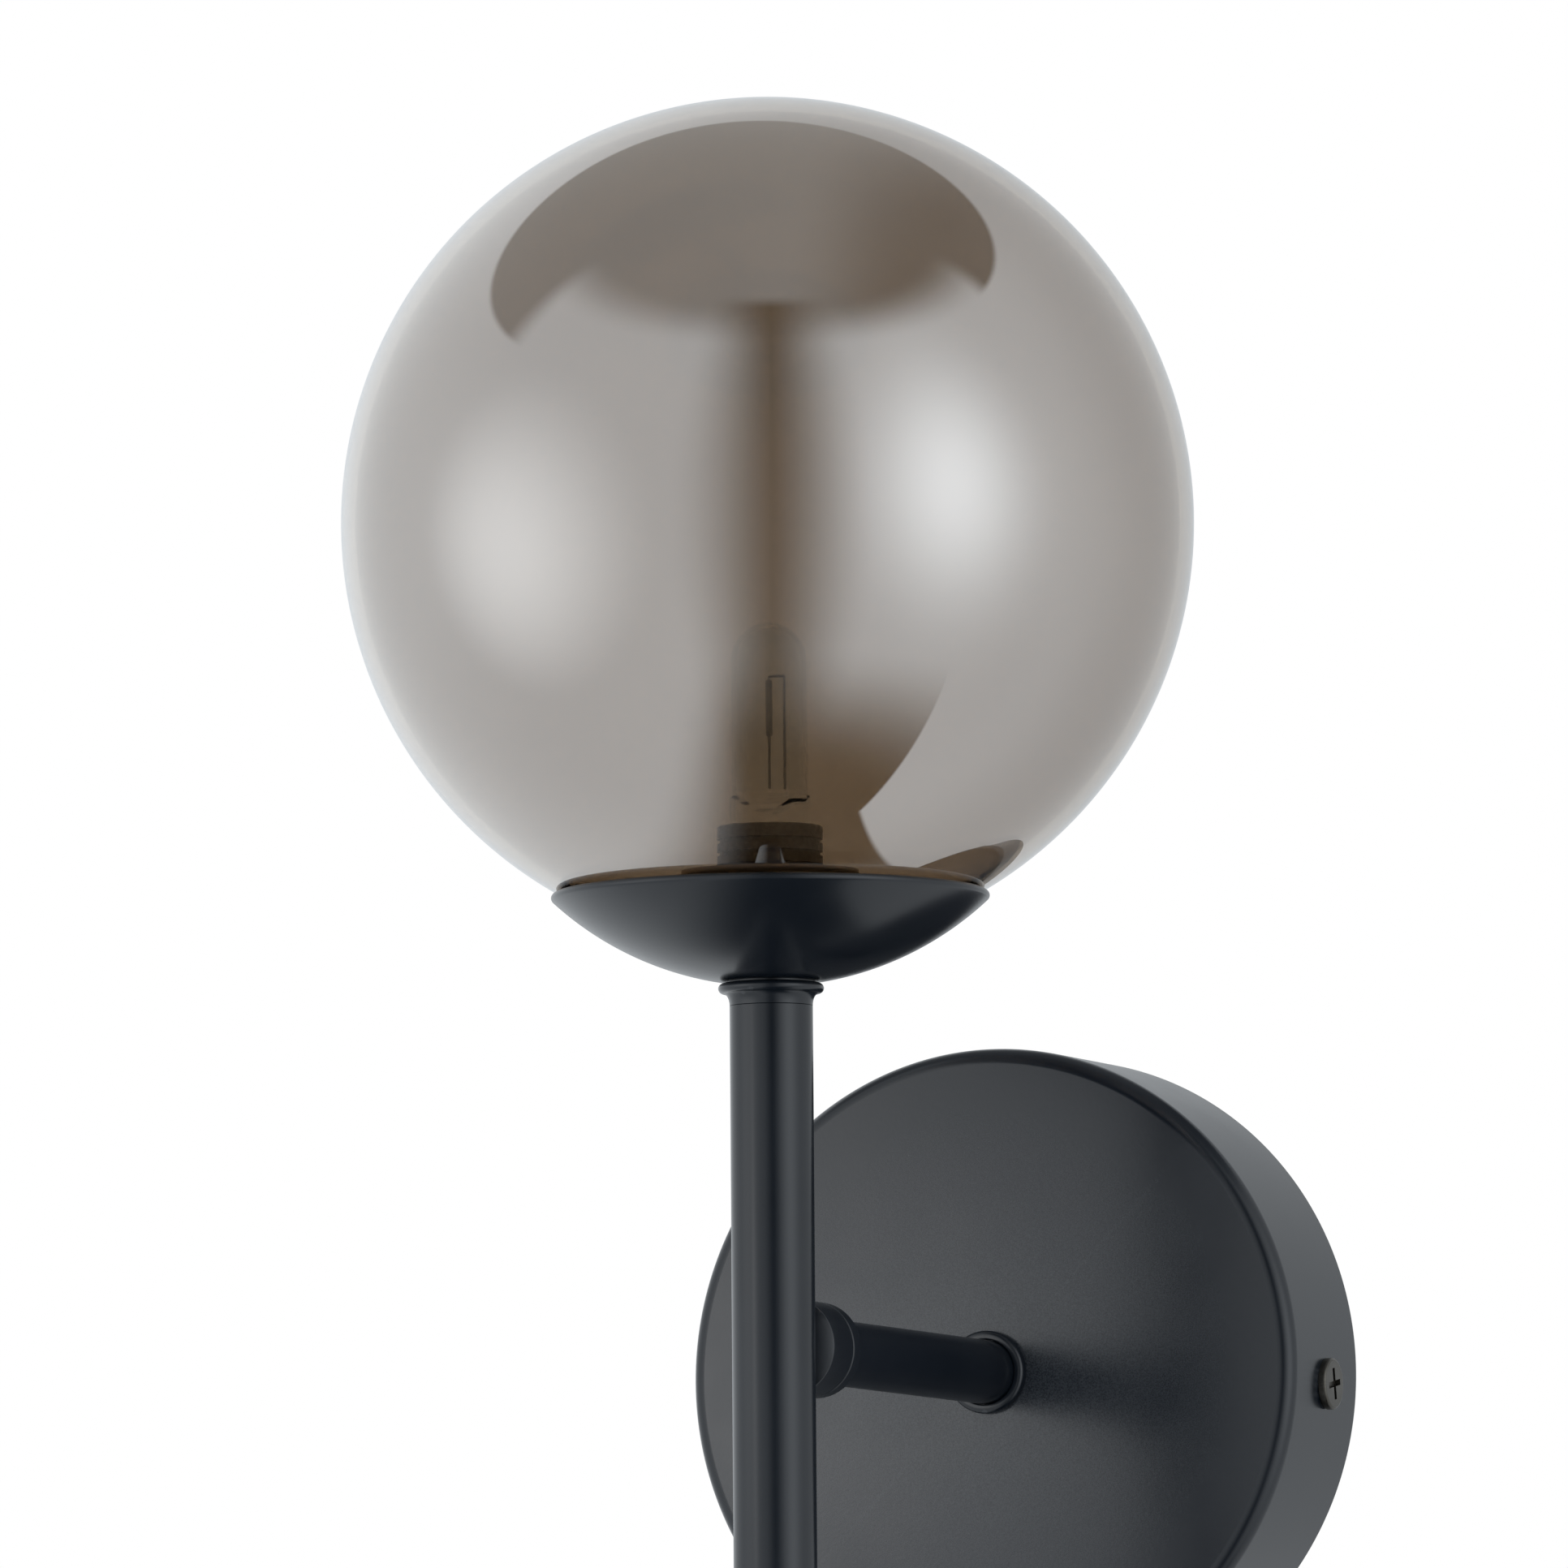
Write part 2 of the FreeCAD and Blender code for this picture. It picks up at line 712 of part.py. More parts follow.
def canopy_side_screws():
    """Pan heads with a cross recess, one through each side of the canopy."""
    seat = canopy_radius
    radius = side_head_diameter / 2
    top = seat + side_head_height
    edge = side_head_edge
    slant = edge * diagonal
    shank = side_screw_diameter / 2
    tip = seat - side_screw_length
    profile = [
        line((0, tip), (shank, tip)),
        line((shank, tip), (shank, seat)),
        line((shank, seat), (radius, seat)),
        line((radius, seat), (radius, top - edge)),
        arc((radius, top - edge), (radius - edge + slant, top - edge + slant), (radius - edge, top)),
        line((radius - edge, top), (0, top)),
        line((0, top), (0, tip))]
    screw = turned(profile)
    half = recess_span / 2
    for i in range(2):
        arm = box((-half, half), (-recess_width / 2, recess_width / 2),
                  (top - recess_depth, top + overcut))
        arm.rotate(Vector(0, 0, 0), Vector(0, 0, 1), side_screw_turn + quarter_turn * i)
        screw = screw.cut(arm)
    return both_sides(along_x(screw, side_screw_out, -side_screw_drop))


def strap_blank():
    """Strap with both ends bent out from the wall: its edge-on shape, given its width."""
    outside = ear_face
    inside = ear_face - strap_thickness
    sheet = strap_thickness
    outer_bend = bend_radius + sheet
    slant = 1 - diagonal
    half_width = strap_width / 2

    def point(x, out):
        return Vector(x, -out, -half_width)

    def straight(a, b):
        return Part.LineSegment(a, b).toShape()

    def side(sign):
        outer_start = point(sign * (outside - outer_bend), 0)
        outer_middle = point(sign * (outside - outer_bend * slant), outer_bend * slant)
        outer_end = point(sign * outside, outer_bend)
        tip = point(sign * outside, ear_length)
        inner_tip = point(sign * inside, ear_length)
        inner_start = point(sign * inside, outer_bend)
        inner_middle = point(sign * (inside - bend_radius * slant), sheet + bend_radius * slant)
        inner_end = point(sign * (inside - bend_radius), sheet)
        return [
            straight(point(0, 0), outer_start),
            Part.Arc(outer_start, outer_middle, outer_end).toShape(),
            straight(outer_end, tip),
            straight(tip, inner_tip),
            straight(inner_tip, inner_start),
            Part.Arc(inner_start, inner_middle, inner_end).toShape(),
            straight(inner_end, point(0, sheet))]

    wire = Part.Wire(side(1) + side(-1)[::-1])
    return Part.Face(wire).extrude(Vector(0, 0, strap_width))


def drilled(plate, x, z, radius):
    tool = Part.makeCylinder(radius, 4 * strap_thickness, Vector(x, strap_thickness, z), Vector(0, -1, 0))
    return plate.cut(tool)


def ear_trims():
    """What is cut off above and below each ear, with a rounded inside corner."""
    reach = ear_length + overcut
    edge = ear_face - strap_thickness - bend_radius
    low = -side_screw_drop - ear_width / 2
    high = -side_screw_drop + ear_width / 2
    blocks = [
        box((edge, ear_face + overcut), (-reach, overcut), (high, strap_width)),
        box((edge, ear_face + overcut), (-reach, overcut), (-strap_width, low))]
    trims = []
    for block in blocks:
        along_out = [e for e in block.Edges if e.BoundBox.YLength > ear_length]
        inner = [e for e in along_out if abs(e.BoundBox.XMin - edge) < touch]
        trims += both_sides(block.makeFillet(strap_corner, inner))
    return trims


def mounting_bracket():
    plate = strap_blank()
    for trim in ear_trims():
        plate = plate.cut(trim)
    plate = drilled(plate, 0, 0, cable_hole_diameter / 2)
    plate = drilled(plate, earth_screw_x, 0, earth_screw_diameter / 2 + thread_clearance)
    plate = drilled(plate, block_center_x, pole_pitch / 2, fixing_screw_diameter / 2 + thread_clearance)
    straight = slot_length / 2 - slot_width / 2
    for x in (-slot_spacing / 2, slot_spacing / 2):
        slot = box((x - straight, x + straight), (-2 * strap_thickness, strap_thickness),
                   (-slot_width / 2, slot_width / 2))
        plate = plate.cut(slot)
        plate = drilled(plate, x - straight, 0, slot_width / 2)
        plate = drilled(plate, x + straight, 0, slot_width / 2)
    tap = cylinder(side_screw_diameter / 2 + thread_clearance, -canopy_radius, canopy_radius)
    return plate.cut(along_x(tap, side_screw_out, -side_screw_drop))


# Terminal block and earth

def pole_heights():
    return [pole_pitch * (i - (pole_count - 1) / 2) for i in range(pole_count)]


def out_post(x, z, radius, low, high):
    """A round post standing out from the wall side."""
    return Part.makeCylinder(radius, high - low, Vector(x, -low, z), Vector(0, -1, 0))


def barrel(radius, length, z):
    """A round bar along a pole of the block, centred on the block's middle."""
    start = Vector(block_center_x - length / 2, -block_axis_out, z)
    return Part.makeCylinder(radius, length, start, Vector(1, 0, 0))


def mains_turret():
    return block_center_x - turret_spread / 2


def lamp_turret():
    return block_center_x + turret_spread / 2


def turret_places():
    return [mains_turret(), lamp_turret()]


def terminal_block():
    heights = pole_heights()
    left = block_center_x - block_length / 2
    right = block_center_x + block_length / 2
    web = box((left, right), (-strap_thickness - block_web, -strap_thickness),
              (heights[0] - barrel_radius, heights[-1] + barrel_radius))
    parts = [web]
    for z in heights:
        parts.append(barrel(barrel_radius, block_length, z))
        parts += [out_post(x, z, turret_radius, block_axis_out, turret_top) for x in turret_places()]
    block = fuse(parts)
    for z in heights:
        block = block.cut(barrel(clamp_tube_radius + weld_gap, block_length + overcut, z))
        for x in turret_places():
            hole = out_post(x, z, clamp_screw_diameter / 2 + slip_clearance,
                            block_axis_out, turret_top + overcut)
            block = block.cut(hole)
    fixing = out_post(block_center_x, pole_pitch / 2, fixing_screw_diameter / 2 + slip_clearance,
                      0, turret_top)
    return block.cut(fixing)


def terminal_clamps():
    """Brass tubes with a wire stop half-way and a tapped hole over each end."""
    tubes = []
    for z in pole_heights():
        bores = barrel(clamp_bore_radius, block_length, z).cut(barrel(clamp_tube_radius, wire_stop, z))
        tube = barrel(clamp_tube_radius, clamp_length, z).cut(bores)
        for x in turret_places():
            tap = out_post(x, z, clamp_screw_diameter / 2 + thread_clearance, block_axis_out, turret_top)
            tube = tube.cut(tap)
        tubes.append(tube)
    return tubes


def terminal_screws():
    """The lamp's side is screwed down on the leads; the mains side is open, ready for its cores."""
    closed = block_axis_out + lead_radius + slip_clearance
    opened = block_axis_out + clamp_bore_radius + slip_clearance
    screws = []
    for z in pole_heights():
        for x, low in ((mains_turret(), opened), (lamp_turret(), closed)):
            high = low + clamp_screw_length
            screw = out_post(x, z, clamp_screw_diameter / 2, low, high)
            slit = box((x - turret_radius, x + turret_radius), (-high - overcut, -high + slit_depth),
                       (z - slit_width / 2, z + slit_width / 2))
            screws.append(screw.cut(slit))
    return screws


def terminal_fixing_screw():
    seat = strap_thickness + block_web
    top = seat + fixing_head_height
    x = block_center_x
    z = pole_pitch / 2
    head = out_post(x, z, fixing_head_radius, seat, top)
    shank = out_post(x, z, fixing_screw_diameter / 2, 0, seat)
    slit = box((x - fixing_head_radius, x + fixing_head_radius), (-top - overcut, -top + slit_depth),
               (z - slit_width / 2, z + slit_width / 2))
    return fuse([head, shank]).cut(slit)


def earth_screw():
    seat = strap_thickness + tag_thickness
    top = seat + earth_head_height
    head = out_post(earth_screw_x, 0, earth_head_diameter / 2, seat, top)
    rim = [e for e in head.Edges if abs(e.BoundBox.YMax + top) < touch]
    head = head.makeFillet(earth_head_edge, rim)
    shank = out_post(earth_screw_x, 0, earth_screw_diameter / 2, 0, seat)
    half = recess_width / 2
    screw = fuse([head, shank])
    for x, z in ((recess_span / 2, half), (half, recess_span / 2)):
        arm = box((earth_screw_x - x, earth_screw_x + x), (-top - overcut, -top + recess_depth), (-z, z))
        screw = screw.cut(arm)
    return screw


def tag_axis_out():
    return strap_thickness + tag_barrel_radius


def tag_mouth():
    return earth_screw_x - tag_radius - tag_barrel_length


def earth_tag():
    """Ring terminal: a flat eye under the screw's head and a crimped barrel for the lead."""
    eye = out_post(earth_screw_x, 0, tag_radius, strap_thickness, strap_thickness + tag_thickness)
    tongue = box((tag_mouth() + tag_barrel_length / 2, earth_screw_x),
                 (-strap_thickness - tag_thickness, -strap_thickness),
                 (-tag_barrel_radius, tag_barrel_radius))
    barrel_start = Vector(tag_mouth(), -tag_axis_out(), 0)
    crimp = Part.makeCylinder(tag_barrel_radius, tag_barrel_length, barrel_start, Vector(1, 0, 0))
    tag = fuse([eye, tongue, crimp])
    hole = out_post(earth_screw_x, 0, earth_screw_diameter / 2 + slip_clearance, 0, turret_top)
    bore = Part.makeCylinder(lead_radius + weld_gap, tag_barrel_length - tag_thickness,
                             barrel_start, Vector(1, 0, 0))
    return tag.cut(hole).cut(bore)


# Leads: straight runs joined by tangent arcs

def lead(name, points, radii):
    spots = [Vector(*p) for p in points]
    edges = []
    start = spots[0]
    for corner, after, radius in zip(spots[1:], spots[2:], radii):
        back = (start - corner).normalize()
        ahead = (after - corner).normalize()
        turn = math.pi - back.getAngle(ahead)
        cut = radius * math.tan(turn / 2)
        first = corner + back * cut
        last = corner + ahead * cut
        bisector = (back + ahead).normalize()
        center = corner + bisector * (radius / math.cos(turn / 2))
        edges.append(Part.LineSegment(start, first).toShape())
        edges.append(Part.Arc(first, center - bisector * radius, last).toShape())
        start = last
    edges.append(Part.LineSegment(start, spots[-1]).toShape())
    path = Part.Wire(edges)
    direction = (spots[1] - spots[0]).normalize()
    section = Part.Wire(Part.makeCircle(lead_radius, spots[0], direction))
    tube = path.makePipeShell([section], True, True)
    print(name, "is", round(path.Length, 1), "mm long")
    return tube


def lamp_lead(side):
    """From its contact down the stem, along the arm and out to the block's outer pole."""
    x = side * lead_spacing / 2
    contact_x = side * pin_pitch / 2
    pole = pole_heights()[-1 if side > 0 else 0]
    stem_y = -stem_out
    back_y = stem_y - lead_spacing
    points = [
        (contact_x, stem_y, contact_bottom),
        (contact_x, stem_y, contact_bottom - lead_below_contact),
        (x, stem_y, nipple_top - lead_below_cap),
        (x, stem_y, rod_above_arm - lead_cross_start),
        (x, back_y, rod_above_arm - lead_cross_end),
        (x, back_y, -lead_sag),
        (x, -rear_nipple_end, -lead_sag),
        (block_mouth + lead_out_of_block, -block_axis_out, pole),
        (block_mouth - lead_in_clamp, -block_axis_out, pole)]
    radii = [bend_at_contact, bend_at_contact, bend_in_stem, bend_in_stem, bend_at_tee,
             bend_behind_nut, bend_at_block]
    return lead("live lead" if side > 0 else "neutral lead", points, radii)


def earth_lead():
    """From the middle pole, below the cable hole, to the tag under the earth screw."""
    hole = cable_hole_diameter / 2
    low = -hole - lead_diameter
    start = tag_mouth() + tag_barrel_length - tag_thickness
    points = [
        (block_mouth - lead_in_clamp, -block_axis_out, 0),
        (block_mouth + earth_out_of_block, -block_axis_out, 0),
        (earth_low_x, -block_axis_out + lead_radius, low),
        (hole, -tag_axis_out() - lead_radius / 2, low / 2),
        (tag_mouth() - lead_diameter, -tag_axis_out(), 0),
        (start, -tag_axis_out(), 0)]
    return lead("earth lead", points, [earth_bend, earth_bend, earth_low_bend, earth_bend])


nodes = {
    "globe_shade": globe_shade,
    "neck_gasket": neck_gasket,
    "gallery_bowl": gallery_bowl,
    "threaded_sleeve": threaded_sleeve,
    "stem_nipple": stem_nipple,
    "stem_washer": stem_washer,
    "stem_nut": stem_nut,
    "lampholder_cap": lampholder_cap,
    "lampholder_body": lampholder_body,
    "lampholder_contacts": lampholder_contacts,
    "lampholder_screws": lampholder_screws,
    "bulb_envelope": bulb_envelope,
    "bulb_pins": bulb_pins,
    "bulb_filament": bulb_filament,
    "stem_collar": stem_collar,
    "stem_rod": stem_rod,
    "stem_tee": stem_tee,
    "stem_end_cap": stem_end_cap,
    "arm_coupler": arm_coupler,
    "coupler_ring": coupler_ring,
    "arm_tube": arm_tube,
    "front_nipple": front_nipple,
    "rear_nipple": rear_nipple,
    "arm_collar": arm_collar,
    "arm_washer": arm_washer,
    "arm_nut": arm_nut,
    "wall_canopy": wall_canopy,
    "canopy_side_screws": canopy_side_screws,
    "mounting_bracket": mounting_bracket,
    "terminal_block": terminal_block,
    "terminal_clamps": terminal_clamps,
    "terminal_screws": terminal_screws,
    "terminal_fixing_screw": terminal_fixing_screw,
    "earth_screw": earth_screw,
    "earth_tag": earth_tag,
    "earth_lead": earth_lead,
    "live_lead": lambda: lamp_lead(1),
    "neutral_lead": lambda: lamp_lead(-1),
}

os.makedirs("parts", exist_ok=True)
for name, make in nodes.items():
    made = make()
    solids = made if isinstance(made, list) else [made]
    shape = solids[0] if len(solids) == 1 else Part.makeCompound(solids)
    shape.exportStep(f"parts/{name}.step")
    print(name, len(shape.Solids), "valid" if shape.isValid() else "INVALID", round(shape.Volume))
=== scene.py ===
import bpy
import bmesh
import json
import math
from mathutils import Matrix, Vector


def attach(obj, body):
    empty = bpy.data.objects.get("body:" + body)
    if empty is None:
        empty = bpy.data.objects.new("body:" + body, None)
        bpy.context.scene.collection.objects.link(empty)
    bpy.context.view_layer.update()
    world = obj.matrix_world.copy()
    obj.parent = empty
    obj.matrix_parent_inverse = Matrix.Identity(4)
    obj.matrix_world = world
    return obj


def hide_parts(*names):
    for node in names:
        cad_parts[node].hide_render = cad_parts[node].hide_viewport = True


# Wall sconce: a smoked glass ball on a black stem, held off a round wall canopy by one arm.
# Sizes in the dictionaries are millimetres. The wall is the plane y = 0 and the room is on -Y.

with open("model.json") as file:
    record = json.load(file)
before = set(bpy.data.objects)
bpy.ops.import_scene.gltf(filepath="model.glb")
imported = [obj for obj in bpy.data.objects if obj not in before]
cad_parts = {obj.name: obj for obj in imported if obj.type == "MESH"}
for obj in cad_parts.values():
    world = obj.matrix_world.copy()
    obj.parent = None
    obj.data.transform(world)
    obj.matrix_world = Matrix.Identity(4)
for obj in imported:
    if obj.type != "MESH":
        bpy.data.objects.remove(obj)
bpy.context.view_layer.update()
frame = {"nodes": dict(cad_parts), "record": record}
print("frame loaded")

mm = 0.001
stemOut = 131.9
fullTurn = 2 * math.pi


# shape helpers

def onStem(radius, height, angle):
    return Vector((radius * math.cos(angle), radius * math.sin(angle) - stemOut, height)) * mm


def onArm(radius, height, angle):
    return Vector((radius * math.cos(angle), -height, radius * math.sin(angle))) * mm


def roundCorners(corners, steps=5):
    # each corner is radius, height and the size of its rounding
    points = []
    for i, (radius, height, fillet) in enumerate(corners):
        corner = Vector((radius, height))
        if fillet == 0:
            points.append(corner)
            continue
        before = (Vector(corners[i - 1][:2]) - corner).normalized()
        after = (Vector(corners[(i + 1) % len(corners)][:2]) - corner).normalized()
        half = before.angle(after) / 2
        centre = corner + (before + after).normalized() * (fillet / math.sin(half))
        first = corner + before * (fillet / math.tan(half)) - centre
        last = corner + after * (fillet / math.tan(half)) - centre
        start = math.atan2(first.y, first.x)
        turn = (math.atan2(last.y, last.x) - start + math.pi) % fullTurn - math.pi
        for step in range(steps + 1):
            angle = start + turn * step / steps
            points.append(centre + fillet * Vector((math.cos(angle), math.sin(angle))))
    return points


def sweep(centre, radius, start, end, steps):
    # points on a circle, angles in degrees from the outward direction
    points = []
    for step in range(steps + 1):
        angle = math.radians(start + (end - start) * step / steps)
        points.append(Vector(centre) + radius * Vector((math.cos(angle), math.sin(angle))))
    return points


def sphereAngle(sphereRadius, around):
    # the angle of the point below a sphere's middle at a distance from its axis
    return -math.degrees(math.acos(around / sphereRadius))


def turnOnLathe(name, profile, place, turns=160, sharpAngle=34):
    work = bmesh.new()
    rings = []
    for radius, height in profile:
        count = 1 if radius < 1e-4 else turns  # a point on the axis is one vertex
        rings.append([work.verts.new(place(radius, height, fullTurn * i / turns))
                      for i in range(count)])
    for near, far in zip(rings, rings[1:] + rings[:1]):
        if len(near) == 1 and len(far) == 1:
            continue
        for i in range(turns):
            j = (i + 1) % turns
            corners = [near[i % len(near)], near[j % len(near)], far[j % len(far)], far[i % len(far)]]
            work.faces.new(list(dict.fromkeys(corners)))
    bmesh.ops.recalc_face_normals(work, faces=work.faces)
    for face in work.faces:
        face.smooth = True
    for edge in work.edges:
        if len(edge.link_faces) == 2 and edge.calc_face_angle(0) > math.radians(sharpAngle):
            edge.smooth = False
    mesh = bpy.data.meshes.new(name)
    work.to_mesh(mesh)
    work.free()
    piece = bpy.data.objects.new(name, mesh)
    bpy.context.scene.collection.objects.link(piece)
    return piece


def cutAway(piece, tool):
    # takes the tool's volume out of the piece, then drops the tool
    cut = piece.modifiers.new("cut", "BOOLEAN")
    cut.operation = "DIFFERENCE"
    cut.solver = "EXACT"
    cut.object = tool
    graph = bpy.context.evaluated_depsgraph_get()
    mesh = bpy.data.meshes.new_from_object(piece.evaluated_get(graph))
    piece.modifiers.clear()
    piece.data = mesh
    bpy.data.objects.remove(tool)


def evenNormals(piece):
    # large faces keep their own direction, so small roundings catch the light cleanly
    weighted = piece.modifiers.new("evenNormals", "WEIGHTED_NORMAL")
    weighted.keep_sharp = True


# material helpers

class Finish:
    def __init__(self, name):
        self.material = bpy.data.materials.new(name)
        self.material.use_nodes = True
        self.nodes = self.material.node_tree.nodes
        self.links = self.material.node_tree.links
        self.shader = self.nodes["Principled BSDF"]
        self.place = self.nodes.new("ShaderNodeTexCoord").outputs["Object"]

    def set(self, **values):
        for key, value in values.items():
            self.shader.inputs[key.replace("_", " ")].default_value = value

    def noise(self, scale, detail=3.0, stretch=None):
        place = self.place
        if stretch:
            mapping = self.nodes.new("ShaderNodeMapping")
            mapping.inputs["Scale"].default_value = stretch
            self.links.new(place, mapping.inputs["Vector"])
            place = mapping.outputs["Vector"]
        texture = self.nodes.new("ShaderNodeTexNoise")
        texture.inputs["Scale"].default_value = scale
        texture.inputs["Detail"].default_value = detail
        texture.inputs["Roughness"].default_value = 0.55
        self.links.new(place, texture.inputs["Vector"])
        return texture.outputs["Fac"]

    def ramp(self, source, stops):
        ramp = self.nodes.new("ShaderNodeValToRGB")
        points = ramp.color_ramp.elements
        while len(points) < len(stops):
            points.new(0.5)
        for point, (position, colour) in zip(points, stops):
            point.position = position
            point.color = (*colour, 1.0)
        self.links.new(source, ramp.inputs["Fac"])
        return ramp.outputs["Color"]

    def span(self, source, low, high, fromLow=0.3, fromHigh=0.7):
        span = self.nodes.new("ShaderNodeMapRange")
        span.inputs["From Min"].default_value = fromLow
        span.inputs["From Max"].default_value = fromHigh
        span.inputs["To Min"].default_value = low
        span.inputs["To Max"].default_value = high
        self.links.new(source, span.inputs["Value"])
        return span.outputs["Result"]

    def blend(self, amount, base, top):
        mix = self.nodes.new("ShaderNodeMix")
        mix.data_type = "RGBA"
        self.links.new(amount, mix.inputs[0])
        self.links.new(base, mix.inputs[6])
        self.links.new(top, mix.inputs[7])
        return mix.outputs[2]

    def worn(self, low=0.53, high=0.6):
        # raised edges of the mesh, where a finish rubs thin
        edges = self.nodes.new("ShaderNodeNewGeometry").outputs["Pointiness"]
        return self.span(edges, 0.0, 1.0, low, high)

    def bump(self, height, depth):
        bump = self.nodes.new("ShaderNodeBump")
        bump.inputs["Distance"].default_value = depth * mm
        bump.inputs["Strength"].default_value = 1.0
        self.links.new(height, bump.inputs["Height"])
        self.links.new(bump.outputs["Normal"], self.shader.inputs["Normal"])

    def colour(self, source):
        self.links.new(source, self.shader.inputs["Base Color"])

    def roughness(self, source):
        self.links.new(source, self.shader.inputs["Roughness"])


finishes = {}

# satin black paint over steel: fine orange peel, faint clouding, edges rubbed a little lighter
blackPaint = {
    "dark": (0.0030, 0.0050, 0.0085),
    "light": (0.0060, 0.0085, 0.0125),
    "rubbed": (0.030, 0.034, 0.040),
    "cloudScale": 40.0,
    "speckScale": 4200.0,
    "peelScale": 1500.0,
    "peelDepth": 0.006,
    "gloss": (0.20, 0.25),
    "index": 1.45,
}


def makeBlackPaint(cfg):
    paint = Finish("satin black paint")
    cloud = paint.noise(cfg["cloudScale"], 4.0)
    speck = paint.noise(cfg["speckScale"], 2.0)
    tone = paint.ramp(cloud, [(0.3, cfg["dark"]), (0.7, cfg["light"])])
    rubbed = paint.ramp(speck, [(0.35, cfg["light"]), (0.65, cfg["rubbed"])])
    paint.colour(paint.blend(paint.worn(), tone, rubbed))
    paint.roughness(paint.span(cloud, *cfg["gloss"]))
    paint.bump(paint.noise(cfg["peelScale"], 2.0), cfg["peelDepth"])
    paint.set(IOR=cfg["index"])
    return paint.material


finishes["black_finish"] = makeBlackPaint(blackPaint)

# smoked glass with a thin metal film outside: half mirror, brown-grey where one looks through it
smokedGlass = {
    "tint": (0.43, 0.360, 0.285),
    "deepTint": (0.38, 0.305, 0.225),
    "cloudScale": 14.0,
    "index": 1.35,
    "filmIndex": 3.2,
    "gloss": (0.0, 0.012),
    "glossScale": 300.0,
    "waveScale": 22.0,
    "waveDepth": 0.02,
}


def makeSmokedGlass(cfg, name, film):
    glass = Finish(name)
    cloud = glass.noise(cfg["cloudScale"])
    glass.colour(glass.ramp(cloud, [(0.35, cfg["deepTint"]), (0.65, cfg["tint"])]))
    glass.roughness(glass.span(glass.noise(cfg["glossScale"]), *cfg["gloss"]))
    glass.bump(glass.noise(cfg["waveScale"], 1.0), cfg["waveDepth"])
    glass.set(Transmission_Weight=1.0, IOR=cfg["index"])
    if film:
        glass.set(Coat_Weight=1.0, Coat_Roughness=cfg["gloss"][1], Coat_IOR=cfg["filmIndex"])
    return glass.material


finishes["smoked_glass"] = makeSmokedGlass(smokedGlass, "smoked glass", True)
smokedInside = makeSmokedGlass(smokedGlass, "smoked glass inside", False)

# plain bulb glass, thin and slightly seedy
bulbGlass = {
    "clear": (0.93, 0.94, 0.93),
    "seedy": (0.86, 0.88, 0.88),
    "cloudScale": 180.0,
    "gloss": (0.01, 0.06),
    "waveScale": 260.0,
    "waveDepth": 0.02,
    "index": 1.16,
}


def makeBulbGlass(cfg):
    glass = Finish("bulb glass")
    cloud = glass.noise(cfg["cloudScale"], 2.0)
    glass.colour(glass.ramp(cloud, [(0.3, cfg["seedy"]), (0.7, cfg["clear"])]))
    glass.roughness(glass.span(cloud, *cfg["gloss"]))
    glass.bump(glass.noise(cfg["waveScale"], 2.0), cfg["waveDepth"])
    glass.set(Transmission_Weight=1.0, IOR=cfg["index"])
    return glass.material


finishes["clear_glass"] = makeBulbGlass(bulbGlass)


# metals, brushed or plated: the grain is stretched along the brush
metals = {
    "plated_steel": {
        "name": "zinc plate",
        "dark": (0.47, 0.48, 0.49),
        "light": (0.62, 0.63, 0.63),
        "gloss": (0.28, 0.42),
        "brush": (1.0, 1.0, 6.0),
        "grain": 700.0,
        "depth": 0.004,
    },
    "screw_finish": {
        "name": "blackened screw",
        "dark": (0.060, 0.056, 0.048),
        "light": (0.110, 0.104, 0.092),
        "rubbed": (0.24, 0.23, 0.21),
        "gloss": (0.30, 0.46),
        "brush": (1.0, 4.0, 4.0),
        "grain": 1400.0,
        "depth": 0.006,
    },
    "brass": {
        "name": "brass",
        "dark": (0.60, 0.42, 0.17),
        "light": (0.76, 0.56, 0.27),
        "gloss": (0.22, 0.36),
        "brush": (5.0, 1.0, 1.0),
        "grain": 700.0,
        "depth": 0.004,
    },
    "filament": {
        "name": "filament wire",
        "dark": (0.55, 0.55, 0.54),
        "light": (0.70, 0.70, 0.69),
        "gloss": (0.45, 0.6),
        "brush": (1.0, 1.0, 9.0),
        "grain": 2500.0,
        "depth": 0.004,
    },
    "sleeve": {
        "name": "warm zinc plate",
        "dark": (0.66, 0.57, 0.44),
        "light": (0.80, 0.71, 0.57),
        "gloss": (0.42, 0.55),
        "brush": (1.0, 1.0, 6.0),
        "grain": 700.0,
        "depth": 0.004,
    },
}
stainScale = 90.0


def makeMetal(cfg):
    metal = Finish(cfg["name"])
    grain = metal.noise(cfg["grain"], 4.0, cfg["brush"])
    tone = metal.ramp(metal.noise(stainScale), [(0.3, cfg["dark"]), (0.7, cfg["light"])])
    if "rubbed" in cfg:
        bare = metal.ramp(grain, [(0.3, cfg["light"]), (0.7, cfg["rubbed"])])
        tone = metal.blend(metal.worn(), tone, bare)
    metal.colour(tone)
    metal.roughness(metal.span(grain, *cfg["gloss"]))
    metal.bump(grain, cfg["depth"])
    metal.set(Metallic=1.0)
    return metal.material


for slotName, cfg in metals.items():
    finishes[slotName] = makeMetal(cfg)

